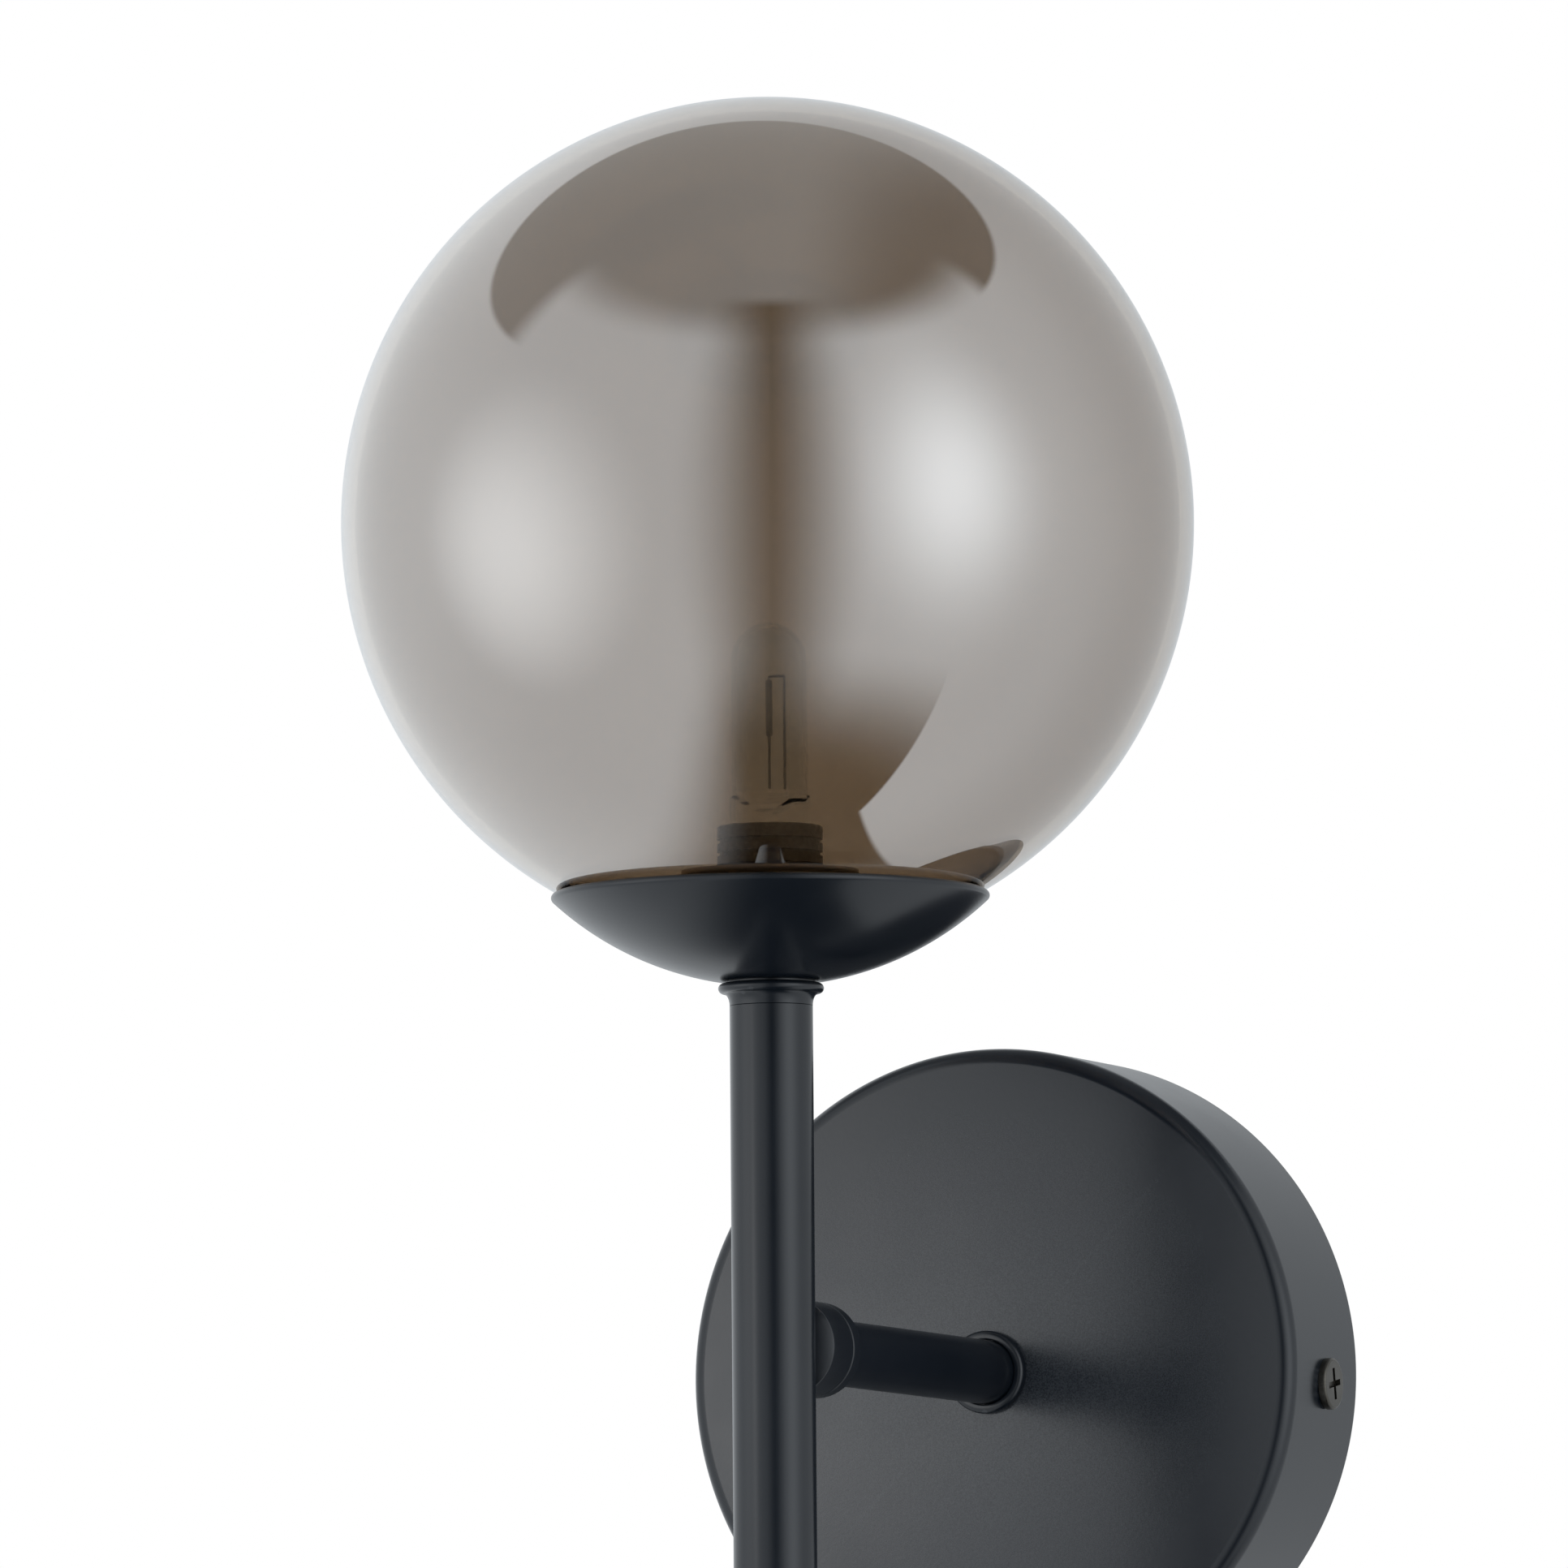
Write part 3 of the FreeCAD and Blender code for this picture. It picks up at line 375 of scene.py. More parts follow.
# ceramic, nylon, rubber and lead insulation: clouded colour with a fine skin
moulded = {
    "holder_ceramic": {
        "name": "glazed ceramic",
        "dark": (0.30, 0.275, 0.235),
        "light": (0.40, 0.37, 0.32),
        "gloss": (0.22, 0.34),
        "cloudScale": 160.0,
        "depth": 0.010,
    },
    "white_nylon": {
        "name": "white nylon",
        "dark": (0.74, 0.74, 0.71),
        "light": (0.84, 0.84, 0.82),
        "gloss": (0.42, 0.55),
        "cloudScale": 240.0,
        "depth": 0.012,
    },
    "silicone": {
        "name": "silicone",
        "dark": (0.50, 0.50, 0.48),
        "light": (0.60, 0.60, 0.58),
        "gloss": (0.5, 0.62),
        "cloudScale": 200.0,
        "depth": 0.02,
    },
    "live_insulation": {
        "name": "live lead skin",
        "dark": (0.105, 0.040, 0.016),
        "light": (0.150, 0.060, 0.026),
        "gloss": (0.38, 0.5),
        "cloudScale": 300.0,
        "depth": 0.008,
    },
    "neutral_insulation": {
        "name": "neutral lead skin",
        "dark": (0.020, 0.095, 0.300),
        "light": (0.034, 0.135, 0.390),
        "gloss": (0.38, 0.5),
        "cloudScale": 300.0,
        "depth": 0.008,
    },
    "earth_insulation": {
        "name": "earth lead skin",
        "dark": (0.090, 0.230, 0.030),
        "light": (0.140, 0.320, 0.050),
        "stripe": (0.72, 0.56, 0.05, 1.0),
        "stripeScale": 170.0,
        "stripeWander": 0.4,
        "stripeEdge": (0.56, 0.60),
        "gloss": (0.38, 0.5),
        "cloudScale": 300.0,
        "depth": 0.008,
    },
}
skinScale = 900.0


def striped(skin, base, cfg):
    # bands across the lead, over its own colour
    wave = skin.nodes.new("ShaderNodeTexWave")
    wave.wave_type = "BANDS"
    wave.bands_direction = "Z"
    wave.inputs["Scale"].default_value = cfg["stripeScale"]
    wave.inputs["Distortion"].default_value = cfg["stripeWander"]
    skin.links.new(skin.place, wave.inputs["Vector"])
    first, last = cfg["stripeEdge"]
    where = skin.ramp(wave.outputs["Fac"], [(first, (0, 0, 0)), (last, (1, 1, 1))])
    mix = skin.nodes.new("ShaderNodeMix")
    mix.data_type = "RGBA"
    mix.inputs[7].default_value = cfg["stripe"]
    skin.links.new(where, mix.inputs[0])
    skin.links.new(base, mix.inputs[6])
    return mix.outputs[2]


def makeMoulded(cfg):
    skin = Finish(cfg["name"])
    fine = skin.noise(skinScale)
    tone = skin.ramp(skin.noise(cfg["cloudScale"], 4.0), [(0.3, cfg["dark"]), (0.7, cfg["light"])])
    skin.colour(striped(skin, tone, cfg) if "stripe" in cfg else tone)
    skin.roughness(skin.span(fine, *cfg["gloss"]))
    skin.bump(fine, cfg["depth"])
    return skin.material


for slotName, cfg in moulded.items():
    finishes[slotName] = makeMoulded(cfg)
print("finishes made:", len(finishes))

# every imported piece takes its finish; those with finer meshes are replaced further down
slots = {entry["node"]: entry["material_slot"] for entry in frame["record"]["subparts"]}
for node, slotName in slots.items():
    solid = frame["nodes"][node]
    solid.data.materials.clear()
    solid.data.materials.append(finishes[slotName])
print("packed pieces dressed:", len(slots))


def stand(piece, node, body="fixture"):
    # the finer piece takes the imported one's body, slot and finish
    if not piece.data.materials:
        piece.data.materials.append(finishes[slots[node]])
    evenNormals(piece)
    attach(piece, body)
    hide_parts(node)


# glass ball with its neck
globe = {
    "radius": 76.0,
    "wall": 2.5,
    "centre": 146.505,
    "neckOuter": 18.35,
    "neckBore": 16.05,
    "neckEnd": 71.535,
    "lip": 0.6,
    "steps": 110,
    "turns": 224,
    "sharpAngle": 50,
}


def makeGlobe(cfg):
    middle = (0, cfg["centre"])
    inside = cfg["radius"] - cfg["wall"]
    outer = sweep(middle, cfg["radius"], 90, sphereAngle(cfg["radius"], cfg["neckOuter"]), cfg["steps"])
    inner = sweep(middle, inside, sphereAngle(inside, cfg["neckBore"]), 90, cfg["steps"])
    lip = roundCorners([
        (*outer[-1], 0), (cfg["neckOuter"], cfg["neckEnd"], cfg["lip"]),
        (cfg["neckBore"], cfg["neckEnd"], cfg["lip"]), (*inner[0], 0)])
    profile = outer[:-1] + lip + inner[1:]
    piece = turnOnLathe("globeShade", profile, onStem, cfg["turns"], cfg["sharpAngle"])
    piece.data.materials.append(finishes["smoked_glass"])
    piece.data.materials.append(smokedInside)
    # the film is on the outside only
    centre = onStem(0, cfg["centre"], 0)
    for face in piece.data.polygons:
        toMiddle = centre - Vector(face.center)
        axisGap = (Vector(face.center) - centre).xy.length
        ballInside = face.normal.dot(toMiddle) > 0 and toMiddle.length < (cfg["radius"] - 1) * mm
        neckInside = axisGap < (cfg["neckBore"] + 0.6) * mm and face.center.z < centre.z
        face.material_index = 1 if ballInside or neckInside else 0
    stand(piece, "globe_shade", "globe")


makeGlobe(globe)

# shallow dish under the ball, with a full-round rim
bowl = {
    "radius": 57.0,
    "wall": 1.5,
    "centre": 120.863,
    "foot": 64.5,
    "footRadius": 8.5,
    "hole": 5.15,
    "rimMiddle": (38.25, 79.62),
    "steps": 48,
    "rimSteps": 12,
    "turns": 200,
}


def makeBowl(cfg):
    middle = (0, cfg["centre"])
    inside = cfg["radius"] - cfg["wall"]
    rimRadius, rimHeight = cfg["rimMiddle"]
    rimTurn = math.degrees(math.atan2(rimHeight - cfg["centre"], rimRadius))
    bottom = cfg["foot"] + cfg["wall"]
    bottomRadius = math.sqrt(inside ** 2 - (cfg["centre"] - bottom) ** 2)
    footTurn = sphereAngle(cfg["radius"], cfg["footRadius"])
    outer = sweep(middle, cfg["radius"], footTurn, rimTurn, cfg["steps"])
    rim = sweep(cfg["rimMiddle"], cfg["wall"] / 2, rimTurn, rimTurn + 180, cfg["rimSteps"])
    inner = sweep(middle, inside, rimTurn, sphereAngle(inside, bottomRadius), cfg["steps"])
    foot = [Vector((cfg["hole"], bottom)), Vector((cfg["hole"], cfg["foot"]))]
    profile = foot + outer[:-1] + rim + inner[1:]
    stand(turnOnLathe("galleryBowl", profile, onStem, cfg["turns"]), "gallery_bowl")


makeBowl(bowl)

# flanged fitting between rod and bowl
collar = {
    "spigot": 6.15,
    "bottom": 50.2,
    "rod": 7.4,
    "rodTop": 60.2,
    "flare": 2.2,
    "edge": 0.9,
    "lip": 8.5,
    "boss": 7.8,
    "bossTop": 64.5,
    "bore": 5.05,
    "flareSteps": 10,
    "beadSteps": 14,
    "turns": 144,
}


def makeCollar(cfg):
    flare = []
    for step in range(cfg["flareSteps"]):
        angle = math.pi / 2 * step / cfg["flareSteps"]
        flare.append(Vector((cfg["lip"] - (cfg["lip"] - cfg["rod"]) * math.cos(angle),
                             cfg["rodTop"] + cfg["flare"] * math.sin(angle))))
    flangeBottom = cfg["rodTop"] + cfg["flare"]
    flangeTop = flangeBottom + 2 * cfg["edge"]
    bead = sweep((cfg["lip"], flangeBottom + cfg["edge"]), cfg["edge"], -90, 90, cfg["beadSteps"])
    profile = [Vector((cfg["bore"], cfg["bottom"])), Vector((cfg["spigot"], cfg["bottom"])),
               Vector((cfg["spigot"], cfg["rodTop"]))]
    profile += flare + bead
    profile += [Vector((cfg["boss"], flangeTop)), Vector((cfg["boss"], cfg["bossTop"])),
                Vector((cfg["bore"], cfg["bossTop"]))]
    stand(turnOnLathe("stemCollar", profile, onStem, cfg["turns"]), "stem_collar")


makeCollar(collar)

# tube that the glass neck screws over; its disc holds the bowl down
sleeve = {
    "bore": 5.15,
    "hub": 7.0,
    "hubBottom": 66.0,
    "discBottom": 68.735,
    "discTop": 69.935,
    "discRadius": 18.35,
    "radius": 15.75,
    "inside": 14.55,
    "top": 84.5,
    "edge": 0.2,
    "pitch": 2.5,
    "threadDepth": 0.55,
    "threadStart": 71.2,
    "threadEnd": 84.0,
    "threadFade": 1.0,
    "steps": 72,
    "turns": 144,
    "sharpAngle": 50,
}


def makeSleeve(cfg):
    def threaded(radius, height, angle):
        # a round thread is pressed into the outer wall and fades out at both ends
        onWall = radius > cfg["inside"] + 0.1
        if onWall and cfg["threadStart"] < height < cfg["threadEnd"]:
            fromEnd = min(height - cfg["threadStart"], cfg["threadEnd"] - height)
            ends = min(fromEnd / cfg["threadFade"], 1.0)
            wave = 0.5 - 0.5 * math.cos(fullTurn * height / cfg["pitch"] - angle)
            radius -= cfg["threadDepth"] * ends * wave
        return onStem(radius, height, angle)

    foot = roundCorners([
        (cfg["bore"], cfg["hubBottom"], 0), (cfg["hub"], cfg["hubBottom"], cfg["edge"]),
        (cfg["hub"], cfg["discBottom"], 0), (cfg["discRadius"], cfg["discBottom"], cfg["edge"]),
        (cfg["discRadius"], cfg["discTop"], cfg["edge"]), (cfg["radius"], cfg["discTop"], 0)])
    rise = (cfg["top"] - cfg["discTop"]) / cfg["steps"]
    wall = [Vector((cfg["radius"], cfg["discTop"] + rise * i)) for i in range(1, cfg["steps"] + 1)]
    inner = [Vector((cfg["inside"], cfg["top"])), Vector((cfg["inside"], cfg["discTop"])),
             Vector((cfg["bore"], cfg["discTop"]))]
    profile = foot + wall + inner
    piece = turnOnLathe("threadedSleeve", profile, threaded, cfg["turns"], cfg["sharpAngle"])
    piece.data.materials.append(finishes["sleeve"])
    stand(piece, "threaded_sleeve")


makeSleeve(sleeve)

# upright tube and the plug that closes its lower end
rod = {
    "radius": 7.4,
    "bore": 6.2,
    "bottom": -72.5,
    "top": 60.2,
    "edge": 0.18,
    "sideHole": 5.15,
    "drillDepth": 9.0,
    "drillTurns": 64,
    "turns": 144,
    "capHeight": 2.5,
    "capEdge": 1.0,
    "capSpigot": 6.15,
    "capBore": 4.95,
    "capDepth": 10.0,
}


def makeRod(cfg):
    piece = turnOnLathe("stemRod", roundCorners([
        (cfg["bore"], cfg["bottom"], 0), (cfg["radius"], cfg["bottom"], cfg["edge"]),
        (cfg["radius"], cfg["top"], cfg["edge"]), (cfg["bore"], cfg["top"], 0)]), onStem, cfg["turns"])

    def backward(radius, height, angle):
        return Vector((radius * math.cos(angle), height - stemOut, radius * math.sin(angle))) * mm

    # the hole for the arm, drilled from the rod's axis towards the wall
    size, depth = cfg["sideHole"], cfg["drillDepth"]
    hole = [(0, 0), (size, 0), (size, depth), (0, depth)]
    cutAway(piece, turnOnLathe("drill", hole, backward, cfg["drillTurns"]))
    stand(piece, "stem_rod")
    foot = cfg["bottom"]
    low, high = foot - cfg["capHeight"], foot + cfg["capDepth"]
    plug = turnOnLathe("stemEndCap", roundCorners([
        (0, low, 0), (cfg["radius"], low, cfg["capEdge"]), (cfg["radius"], foot, cfg["edge"]),
        (cfg["capSpigot"], foot, 0), (cfg["capSpigot"], high, 0), (cfg["capBore"], high, 0),
        (cfg["capBore"], foot, 0), (0, foot, 0)]), onStem, cfg["turns"])
    stand(plug, "stem_end_cap")


makeRod(rod)

# turned coupler saddled to the rod, with a loose ring behind it
coupler = {
    "radius": 8.6,
    "bore": 5.05,
    "back": 115.9,
    "front": 124.8,
    "dome": 3.0,
    "edge": 0.35,
    "ringBack": 112.3,
    "ringBore": 6.0,
    "ringInnerEdge": 0.15,
    "saddle": 7.45,
    "saddleReach": 20.0,
    "saddleTurns": 128,
    "domeSteps": 16,
    "turns": 144,
}


def makeCoupler(cfg):
    ball = (cfg["radius"] ** 2 + cfg["dome"] ** 2) / (2 * cfg["dome"])
    middle = cfg["front"] + cfg["dome"] - ball
    rimTurn = math.degrees(math.acos(cfg["radius"] / ball))
    boreTurn = math.degrees(math.acos(cfg["bore"] / ball))
    domed = sweep((0, middle), ball, rimTurn, boreTurn, cfg["domeSteps"])
    body = roundCorners([
        (cfg["bore"], cfg["back"], 0), (cfg["radius"], cfg["back"], cfg["edge"]),
        (*domed[0], cfg["edge"]), (*domed[3], 0)])
    piece = turnOnLathe("armCoupler", body + domed[4:], onArm, cfg["turns"])
    size, reach = cfg["saddle"], cfg["saddleReach"]
    rodRound = [(0, -reach), (size, -reach), (size, reach), (0, reach)]
    cutAway(piece, turnOnLathe("saddle", rodRound, onStem, cfg["saddleTurns"]))
    stand(piece, "arm_coupler")
    loose = turnOnLathe("couplerRing", roundCorners([
        (cfg["ringBore"], cfg["ringBack"], cfg["ringInnerEdge"]),
        (cfg["radius"], cfg["ringBack"], cfg["edge"]), (cfg["radius"], cfg["back"], cfg["edge"]),
        (cfg["ringBore"], cfg["back"], cfg["ringInnerEdge"])]), onArm, cfg["turns"])
    stand(loose, "coupler_ring")


makeCoupler(coupler)

# arm and the ring where it meets the canopy
arm = {
    "radius": 5.9,
    "bore": 5.05,
    "back": 33.0,
    "front": 115.9,
    "edge": 0.12,
    "turns": 128,
    "collarRadius": 7.65,
    "collarBore": 6.0,
    "collarTop": 35.1,
    "collarEdge": 0.9,
    "collarFootEdge": 0.1,
    "collarInnerEdge": 0.25,
    "collarTurns": 144,
}


def makeArm(cfg):
    tube = turnOnLathe("armTube", roundCorners([
        (cfg["bore"], cfg["back"], 0), (cfg["radius"], cfg["back"], cfg["edge"]),
        (cfg["radius"], cfg["front"], cfg["edge"]), (cfg["bore"], cfg["front"], 0)]),
        onArm, cfg["turns"])
    stand(tube, "arm_tube")
    flat = turnOnLathe("armCollar", roundCorners([
        (cfg["collarBore"], cfg["back"], 0),
        (cfg["collarRadius"], cfg["back"], cfg["collarFootEdge"]),
        (cfg["collarRadius"], cfg["collarTop"], cfg["collarEdge"]),
        (cfg["collarBore"], cfg["collarTop"], cfg["collarInnerEdge"])]), onArm, cfg["collarTurns"])
    stand(flat, "arm_collar")


makeArm(arm)

# round canopy, open at the wall
canopy = {
    "radius": 60.0,
    "wall": 1.2,
    "depth": 33.0,
    "frontEdge": 3.0,
    "hole": 5.15,
    "rimEdge": 0.25,
    "screwHole": 2.2,
    "screwOut": 15.0,
    "screwDrop": 3.0,
    "drillReach": 70.0,
    "drillTurns": 64,
    "edgeSteps": 9,
    "turns": 256,
}


def makeCanopy(cfg):
    inside = cfg["radius"] - cfg["wall"]
    back = cfg["depth"] - cfg["wall"]
    piece = turnOnLathe("wallCanopy", roundCorners([
        (cfg["hole"], cfg["depth"], 0), (cfg["radius"], cfg["depth"], cfg["frontEdge"]),
        (cfg["radius"], 0, cfg["rimEdge"]), (inside, 0, cfg["rimEdge"]),
        (inside, back, cfg["frontEdge"] - cfg["wall"]), (cfg["hole"], back, 0)],
        cfg["edgeSteps"]), onArm, cfg["turns"])

    def sideways(radius, height, angle):
        return Vector((height, -cfg["screwOut"] + radius * math.cos(angle),
                       -cfg["screwDrop"] + radius * math.sin(angle))) * mm

    # one pass through both sides makes the two screw holes
    size, reach = cfg["screwHole"], cfg["drillReach"]
    holes = [(0, -reach), (size, -reach), (size, reach), (0, reach)]
    cutAway(piece, turnOnLathe("drill", holes, sideways, cfg["drillTurns"]))
    stand(piece, "wall_canopy")


makeCanopy(canopy)
print("main pieces turned")

# camera a little below and to the right of the lamp; angles are radians
view = {
    "place": (886.18, -2169.39, -133.00),
    "lens": 288.317,
    "film": 36,
    "clip": (0.1, 50),
    "yaw": 0.4091,
    "pitch": 0.1044,
    "roll": -0.0077,
}


def cameraAxes(cfg):
    level = Vector((-math.sin(cfg["yaw"]), math.cos(cfg["yaw"]), 0))
    side = Vector((math.cos(cfg["yaw"]), math.sin(cfg["yaw"]), 0))
    ahead = level * math.cos(cfg["pitch"]) + Vector((0, 0, math.sin(cfg["pitch"])))
    above = side.cross(ahead)
    right = side * math.cos(cfg["roll"]) + above * math.sin(cfg["roll"])
    up = above * math.cos(cfg["roll"]) - side * math.sin(cfg["roll"])
    return right, up, -ahead


def makeCamera(cfg):
    lens = bpy.data.cameras.new("camera")
    lens.lens = cfg["lens"]
    lens.sensor_width = cfg["film"]
    lens.clip_start, lens.clip_end = cfg["clip"]
    camera = bpy.data.objects.new("camera", lens)
    turned = Matrix(cameraAxes(cfg)).transposed()
    camera.matrix_world = Matrix.Translation(Vector(cfg["place"]) * mm) @ turned.to_4x4()
    bpy.context.scene.collection.objects.link(camera)
    bpy.context.scene.camera = camera


makeCamera(view)

# studio that shiny surfaces show: a white sweep behind, soft panels at the sides, a dim ceiling,
# a dark floor and a dark gap between the panels. Panels are strength, azimuth, width, elevation
# and height, and the gap is azimuth, start and end, all in degrees as the camera stands. Pairs are
# where a change begins and ends, along the camera's right, up or back direction.
studio = {
    "plain": 0.9,
    "tone": (0.955, 1.005, 1.045, 1.0),
    "sweep": 0.94,
    "sweepBehind": 0.62,
    "sweepLeft": 1.00,
    "sweepTurn": (0.05, -0.75),
    "leftTurn": (0.20, -0.55),
    "sweepEdge": (0.655, 0.675),
    "ceiling": 0.36,
    "ceilingRight": 0.14,
    "ceilingTurn": (0.05, 0.5),
    "ceilingEdge": (0.72, 0.86),
    "ceilingTilt": 0.1,
    "rearTurn": (88, 100),
    "leftPanel": (0.30, -82, 30, 0, 26),
    "rightPanel": (1.30, 51, 22, 9, 27),
    "gap": (1.5, -3, 29),
    "gapTop": (0.85, 0.89),
    "gapLevel": 0.06,
    "floorEdge": (-0.54, -0.94),
    "floorRight": (0.315, 0.295),
    "floorLeft": (-0.38, -0.04),
    "floorBehind": (-0.85, -0.60),
}


def makeStudio(cfg):
    world = bpy.data.worlds.new("studio")
    bpy.context.scene.world = world
    world.use_nodes = True
    nodes, links = world.node_tree.nodes, world.node_tree.links
    nodes.clear()
    direction = nodes.new("ShaderNodeTexCoord").outputs["Generated"]

    def feed(node, socket, value):
        if isinstance(value, (int, float)):
            node.inputs[socket].default_value = value
        else:
            links.new(value, node.inputs[socket])

    def sums(kind, first, second=0.0):
        node = nodes.new("ShaderNodeMath")
        node.operation = kind
        feed(node, 0, first)
        feed(node, 1, second)
        return node.outputs[0]

    def along(axis):
        node = nodes.new("ShaderNodeVectorMath")
        node.operation = "DOT_PRODUCT"
        links.new(direction, node.inputs[0])
        node.inputs[1].default_value = axis
        return node.outputs["Value"]

    def step(value, low, high):
        node = nodes.new("ShaderNodeMapRange")
        node.interpolation_type = "SMOOTHSTEP"
        flipped = low > high
        node.inputs["From Min"].default_value = min(low, high)
        node.inputs["From Max"].default_value = max(low, high)
        node.inputs["To Min"].default_value = 1.0 if flipped else 0.0
        node.inputs["To Max"].default_value = 0.0 if flipped else 1.0
        links.new(value, node.inputs["Value"])
        return node.outputs["Result"]

    def mix(amount, first, second):
        # first where the amount is 0 and second where it is 1
        kept = sums("MULTIPLY", first, sums("SUBTRACT", 1.0, amount))
        return sums("ADD", kept, sums("MULTIPLY", second, amount))

    right, up, toCamera = cameraAxes(view)
    height = along(up)
    around = sums("ARCTAN2", along(right), along(toCamera))
    lift = sums("ARCSINE", height)

    def panel(strength, azimuth, width, elevation, tall):
        across = sums("DIVIDE", sums("SUBTRACT", around, math.radians(azimuth)), math.radians(width))
        upward = sums("DIVIDE", sums("SUBTRACT", lift, math.radians(elevation)), math.radians(tall))
        spread = sums("ADD", sums("MULTIPLY", across, across), sums("MULTIPLY", upward, upward))
        return sums("MULTIPLY", sums("EXPONENT", sums("MULTIPLY", spread, -1.0)), strength)

    offset, gapLow, gapHigh = [math.radians(angle) for angle in cfg["gap"]]
    sideways = sums("ABSOLUTE", sums("SUBTRACT", around, offset))
    side, near = along(right), along(toCamera)
    walls = sums("ADD", panel(*cfg["leftPanel"]), panel(*cfg["rightPanel"]))
    sweepBack = mix(step(side, *cfg["leftTurn"]), cfg["sweepBehind"], cfg["sweepLeft"])
    walls = sums("ADD", walls, mix(step(near, *cfg["sweepTurn"]), cfg["sweep"], sweepBack))
    # the floor below the set is dark, up to a sharp edge on the right and a soft one on the left
    rightward = sums("SUBTRACT", side, sums("MAXIMUM", near, 0.0))
    dark = sums("MULTIPLY", step(rightward, *cfg["floorRight"]), step(side, *cfg["floorLeft"]))
    dark = sums("MULTIPLY", dark, step(height, *cfg["floorEdge"]))
    dark = sums("MULTIPLY", dark, step(near, *cfg["floorBehind"]))
    walls = sums("MULTIPLY", walls, sums("SUBTRACT", 1.0, dark))
    # the white sweep ends in a sharp upper edge behind; in front the panels fade into the ceiling
    tilted = sums("SUBTRACT", height, sums("MULTIPLY", side, cfg["ceilingTilt"]))
    behind = step(sideways, *[math.radians(angle) for angle in cfg["rearTurn"]])
    top = mix(behind, step(height, *cfg["ceilingEdge"]), step(tilted, *cfg["sweepEdge"]))
    ceiling = mix(step(side, *cfg["ceilingTurn"]), cfg["ceiling"], cfg["ceilingRight"])
    glossy = mix(top, walls, ceiling)
    # the gap between the panels runs up into the ceiling and stops there
    gap = mix(step(sideways, gapLow, gapHigh), cfg["gapLevel"], 1.0)
    gap = mix(step(height, *cfg["gapTop"]), gap, 1.0)
    glossy = sums("MULTIPLY", glossy, gap)
    ray = nodes.new("ShaderNodeLightPath")
    seen = sums("MAXIMUM", ray.outputs["Is Camera Ray"], ray.outputs["Is Transmission Ray"])
    level = mix(ray.outputs["Is Glossy Ray"], cfg["plain"], glossy)
    level = mix(seen, level, 1.0)
    # the studio's own light is a little cool; what is seen straight or through the glass is white
    cool = nodes.new("ShaderNodeMix")
    cool.data_type = "RGBA"
    cool.inputs[6].default_value = cfg["tone"]
    cool.inputs[7].default_value = (1.0, 1.0, 1.0, 1.0)
    links.new(seen, cool.inputs[0])
    background = nodes.new("ShaderNodeBackground")
    links.new(cool.outputs[2], background.inputs["Color"])
    links.new(level, background.inputs["Strength"])
    output = nodes.new("ShaderNodeOutputWorld")
    links.new(background.outputs[0], output.inputs["Surface"])


makeStudio(studio)

# pale floor well below the lamp: it takes the shadow, and fades to white farther out.
# Its size and the fade's reach are metres.
floor = {
    "height": -700.0,
    "size": 6.0,
    "pale": (0.86, 0.86, 0.85),
    "paler": (0.90, 0.90, 0.895),
    "cloudScale": 3.0,
    "gloss": (0.7, 0.85),
    "grain": 300.0,
    "grainDepth": 0.1,
    "segments": 24,
    "fade": (0.5, 1.6),
}


def makeFloor(cfg):
    work = bmesh.new()
    count = cfg["segments"]
    bmesh.ops.create_grid(work, x_segments=count, y_segments=count, size=cfg["size"])
    mesh = bpy.data.meshes.new("floor")
    work.to_mesh(mesh)
    work.free()
    piece = bpy.data.objects.new("floor", mesh)
    piece.location = (0, 0, cfg["height"] * mm)
    piece.visible_glossy = False
    bpy.context.scene.collection.objects.link(piece)
    pale = Finish("pale floor")
    cloud = pale.noise(cfg["cloudScale"], 4.0)
    pale.colour(pale.ramp(cloud, [(0.3, cfg["pale"]), (0.7, cfg["paler"])]))
    pale.roughness(pale.span(cloud, *cfg["gloss"]))
    pale.bump(pale.noise(cfg["grain"]), cfg["grainDepth"])
    distance = pale.nodes.new("ShaderNodeVectorMath")
    distance.operation = "LENGTH"
    pale.links.new(pale.place, distance.inputs[0])
    fade = pale.span(distance.outputs["Value"], 0.0, 1.0, *cfg["fade"])
    white = pale.nodes.new("ShaderNodeEmission")
    mix = pale.nodes.new("ShaderNodeMixShader")
    pale.links.new(fade, mix.inputs[0])
    pale.links.new(pale.shader.outputs[0], mix.inputs[1])
    pale.links.new(white.outputs[0], mix.inputs[2])
    # nothing is seen of it from below
    below = pale.nodes.new("ShaderNodeMixShader")
    pale.links.new(pale.nodes.new("ShaderNodeNewGeometry").outputs["Backfacing"], below.inputs[0])
    pale.links.new(mix.outputs[0], below.inputs[1])
    pale.links.new(pale.nodes.new("ShaderNodeBsdfTransparent").outputs[0], below.inputs[2])
    pale.links.new(below.outputs[0], pale.nodes["Material Output"].inputs["Surface"])
    mesh.materials.append(pale.material)


makeFloor(floor)

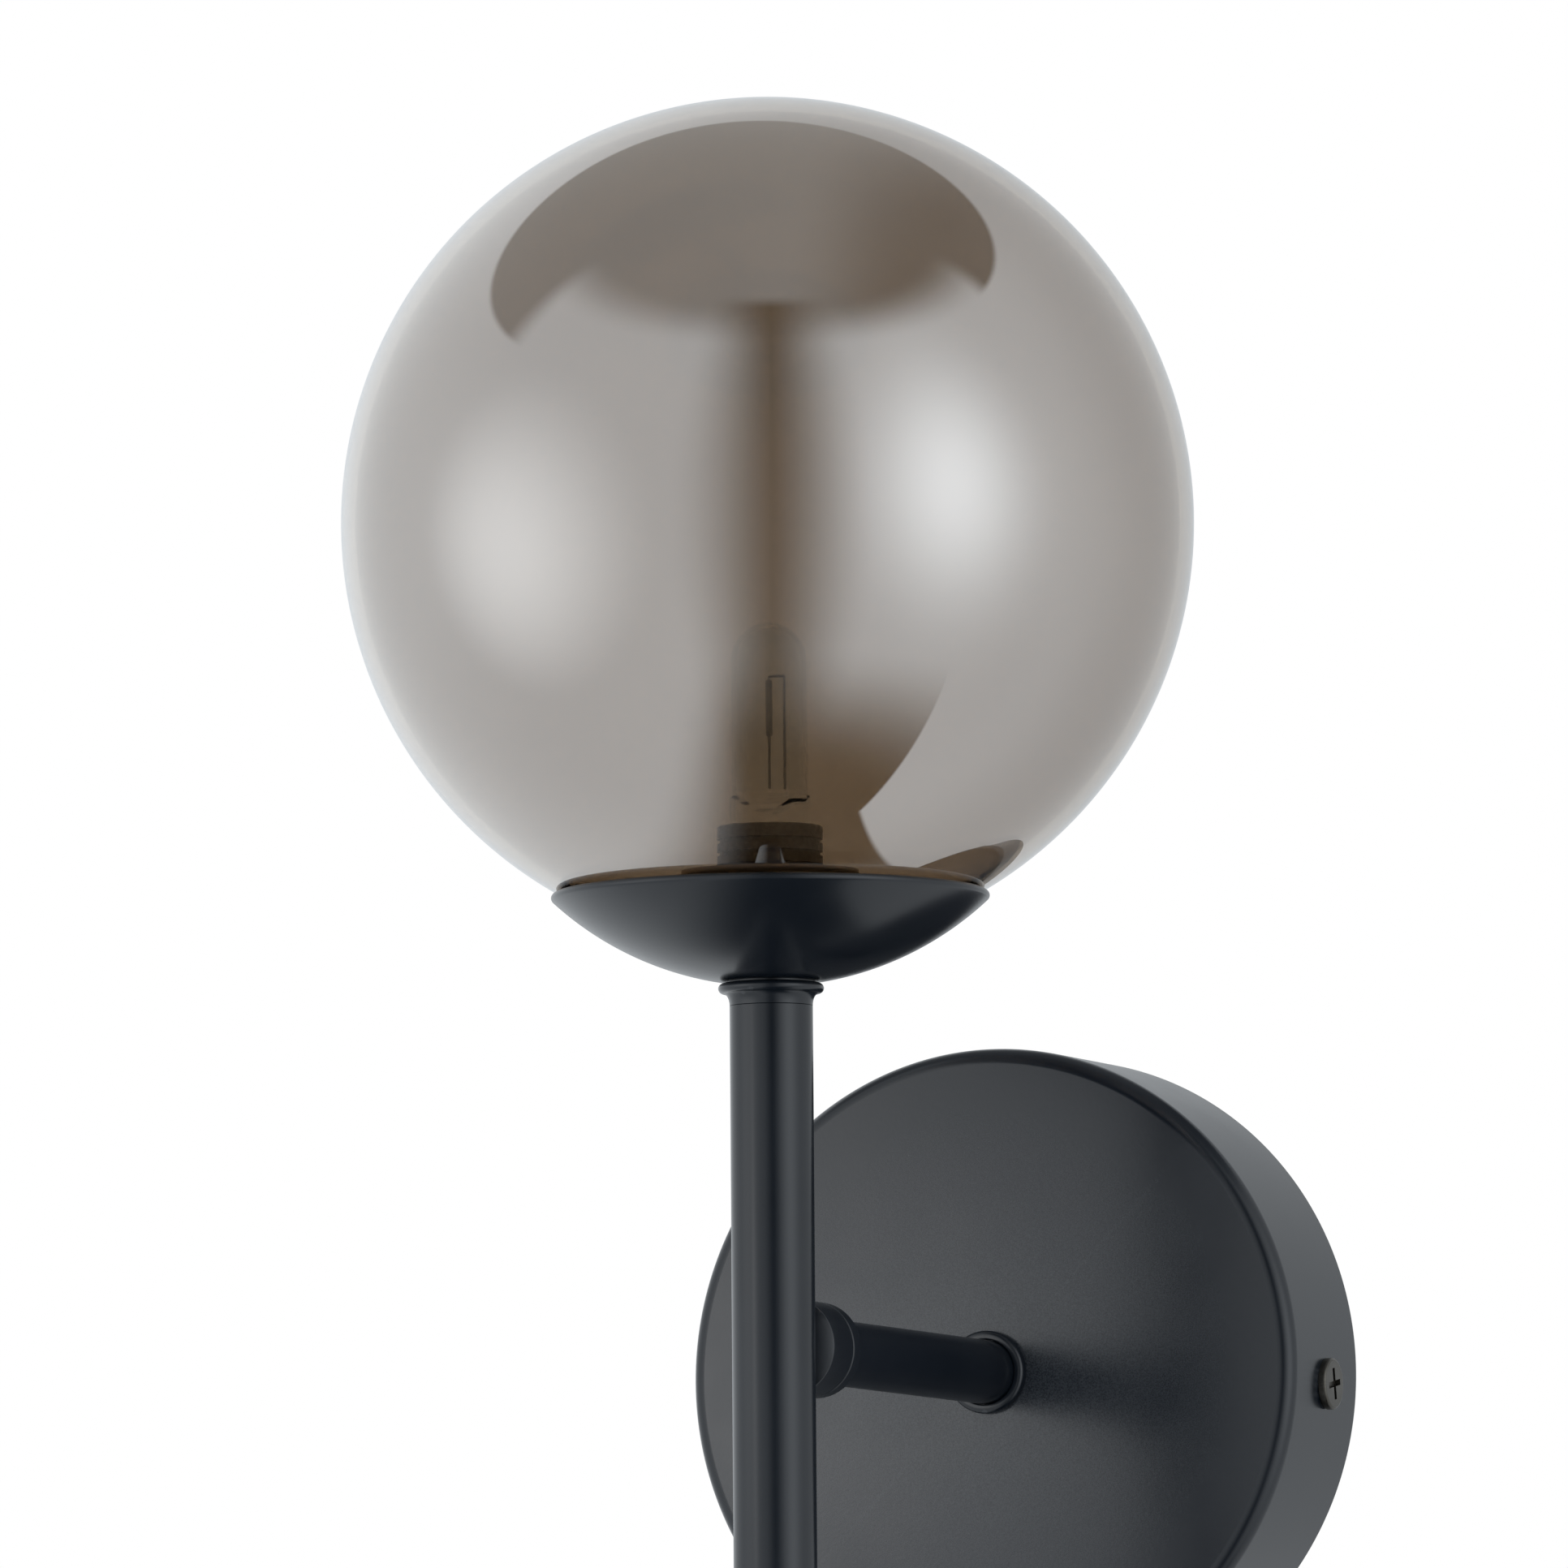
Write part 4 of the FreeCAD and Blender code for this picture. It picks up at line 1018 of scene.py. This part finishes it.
# soft lamps: a near one on the left, a small gridded one that rakes the canopy from the left,
# and a large one high on the right that shiny surfaces don't show. Sizes are metres, beams degrees.
lamps = {
    "nearLeft": {
        "place": (-270, -430, 80),
        "aim": (0, -60, 60),
        "size": 0.62,
        "power": 0.32,
        "beam": 180,
        "shiny": True,
    },
    "gridLeft": {
        "place": (-270, -480, 20),
        "aim": (-60, -33, -30),
        "size": 0.24,
        "power": 0.0055,
        "beam": 26,
        "shiny": True,
    },
    "highRight": {
        "place": (900, -900, 1100),
        "aim": (0, -100, 60),
        "size": 0.9,
        "power": 6.0,
        "beam": 180,
        "shiny": False,
    },
}
lampMiddle = 2.0


def makeLamp(name, cfg):
    light = bpy.data.lights.new(name, "AREA")
    light.shape = "DISK"
    light.size = cfg["size"]
    light.energy = cfg["power"]
    light.spread = math.radians(cfg["beam"])
    lamp = bpy.data.objects.new(name, light)
    lamp.location = Vector(cfg["place"]) * mm
    toAim = Vector(cfg["aim"]) * mm - lamp.location
    lamp.rotation_mode = "QUATERNION"
    lamp.rotation_quaternion = toAim.to_track_quat("-Z", "Y")
    lamp.visible_camera = False
    lamp.visible_glossy = cfg["shiny"]
    lamp.visible_transmission = False
    bpy.context.scene.collection.objects.link(lamp)
    # brightest in the middle and soft at the edge
    light.use_nodes = True
    nodes, links = light.node_tree.nodes, light.node_tree.links
    spot = nodes.new("ShaderNodeNewGeometry").outputs["Parametric"]
    away = nodes.new("ShaderNodeVectorMath")
    away.operation = "DISTANCE"
    links.new(spot, away.inputs[0])
    away.inputs[1].default_value = (0.5, 0.5, 0)
    fade = nodes.new("ShaderNodeMapRange")
    fade.interpolation_type = "SMOOTHSTEP"
    fade.inputs["From Min"].default_value = 0.0
    fade.inputs["From Max"].default_value = 0.5
    fade.inputs["To Min"].default_value = lampMiddle
    fade.inputs["To Max"].default_value = 0.0
    links.new(away.outputs["Value"], fade.inputs["Value"])
    links.new(fade.outputs["Result"], nodes["Emission"].inputs["Strength"])


for name, cfg in lamps.items():
    makeLamp(name, cfg)
bpy.context.scene.view_settings.view_transform = "Standard"
print("camera, studio, floor and lamps placed")
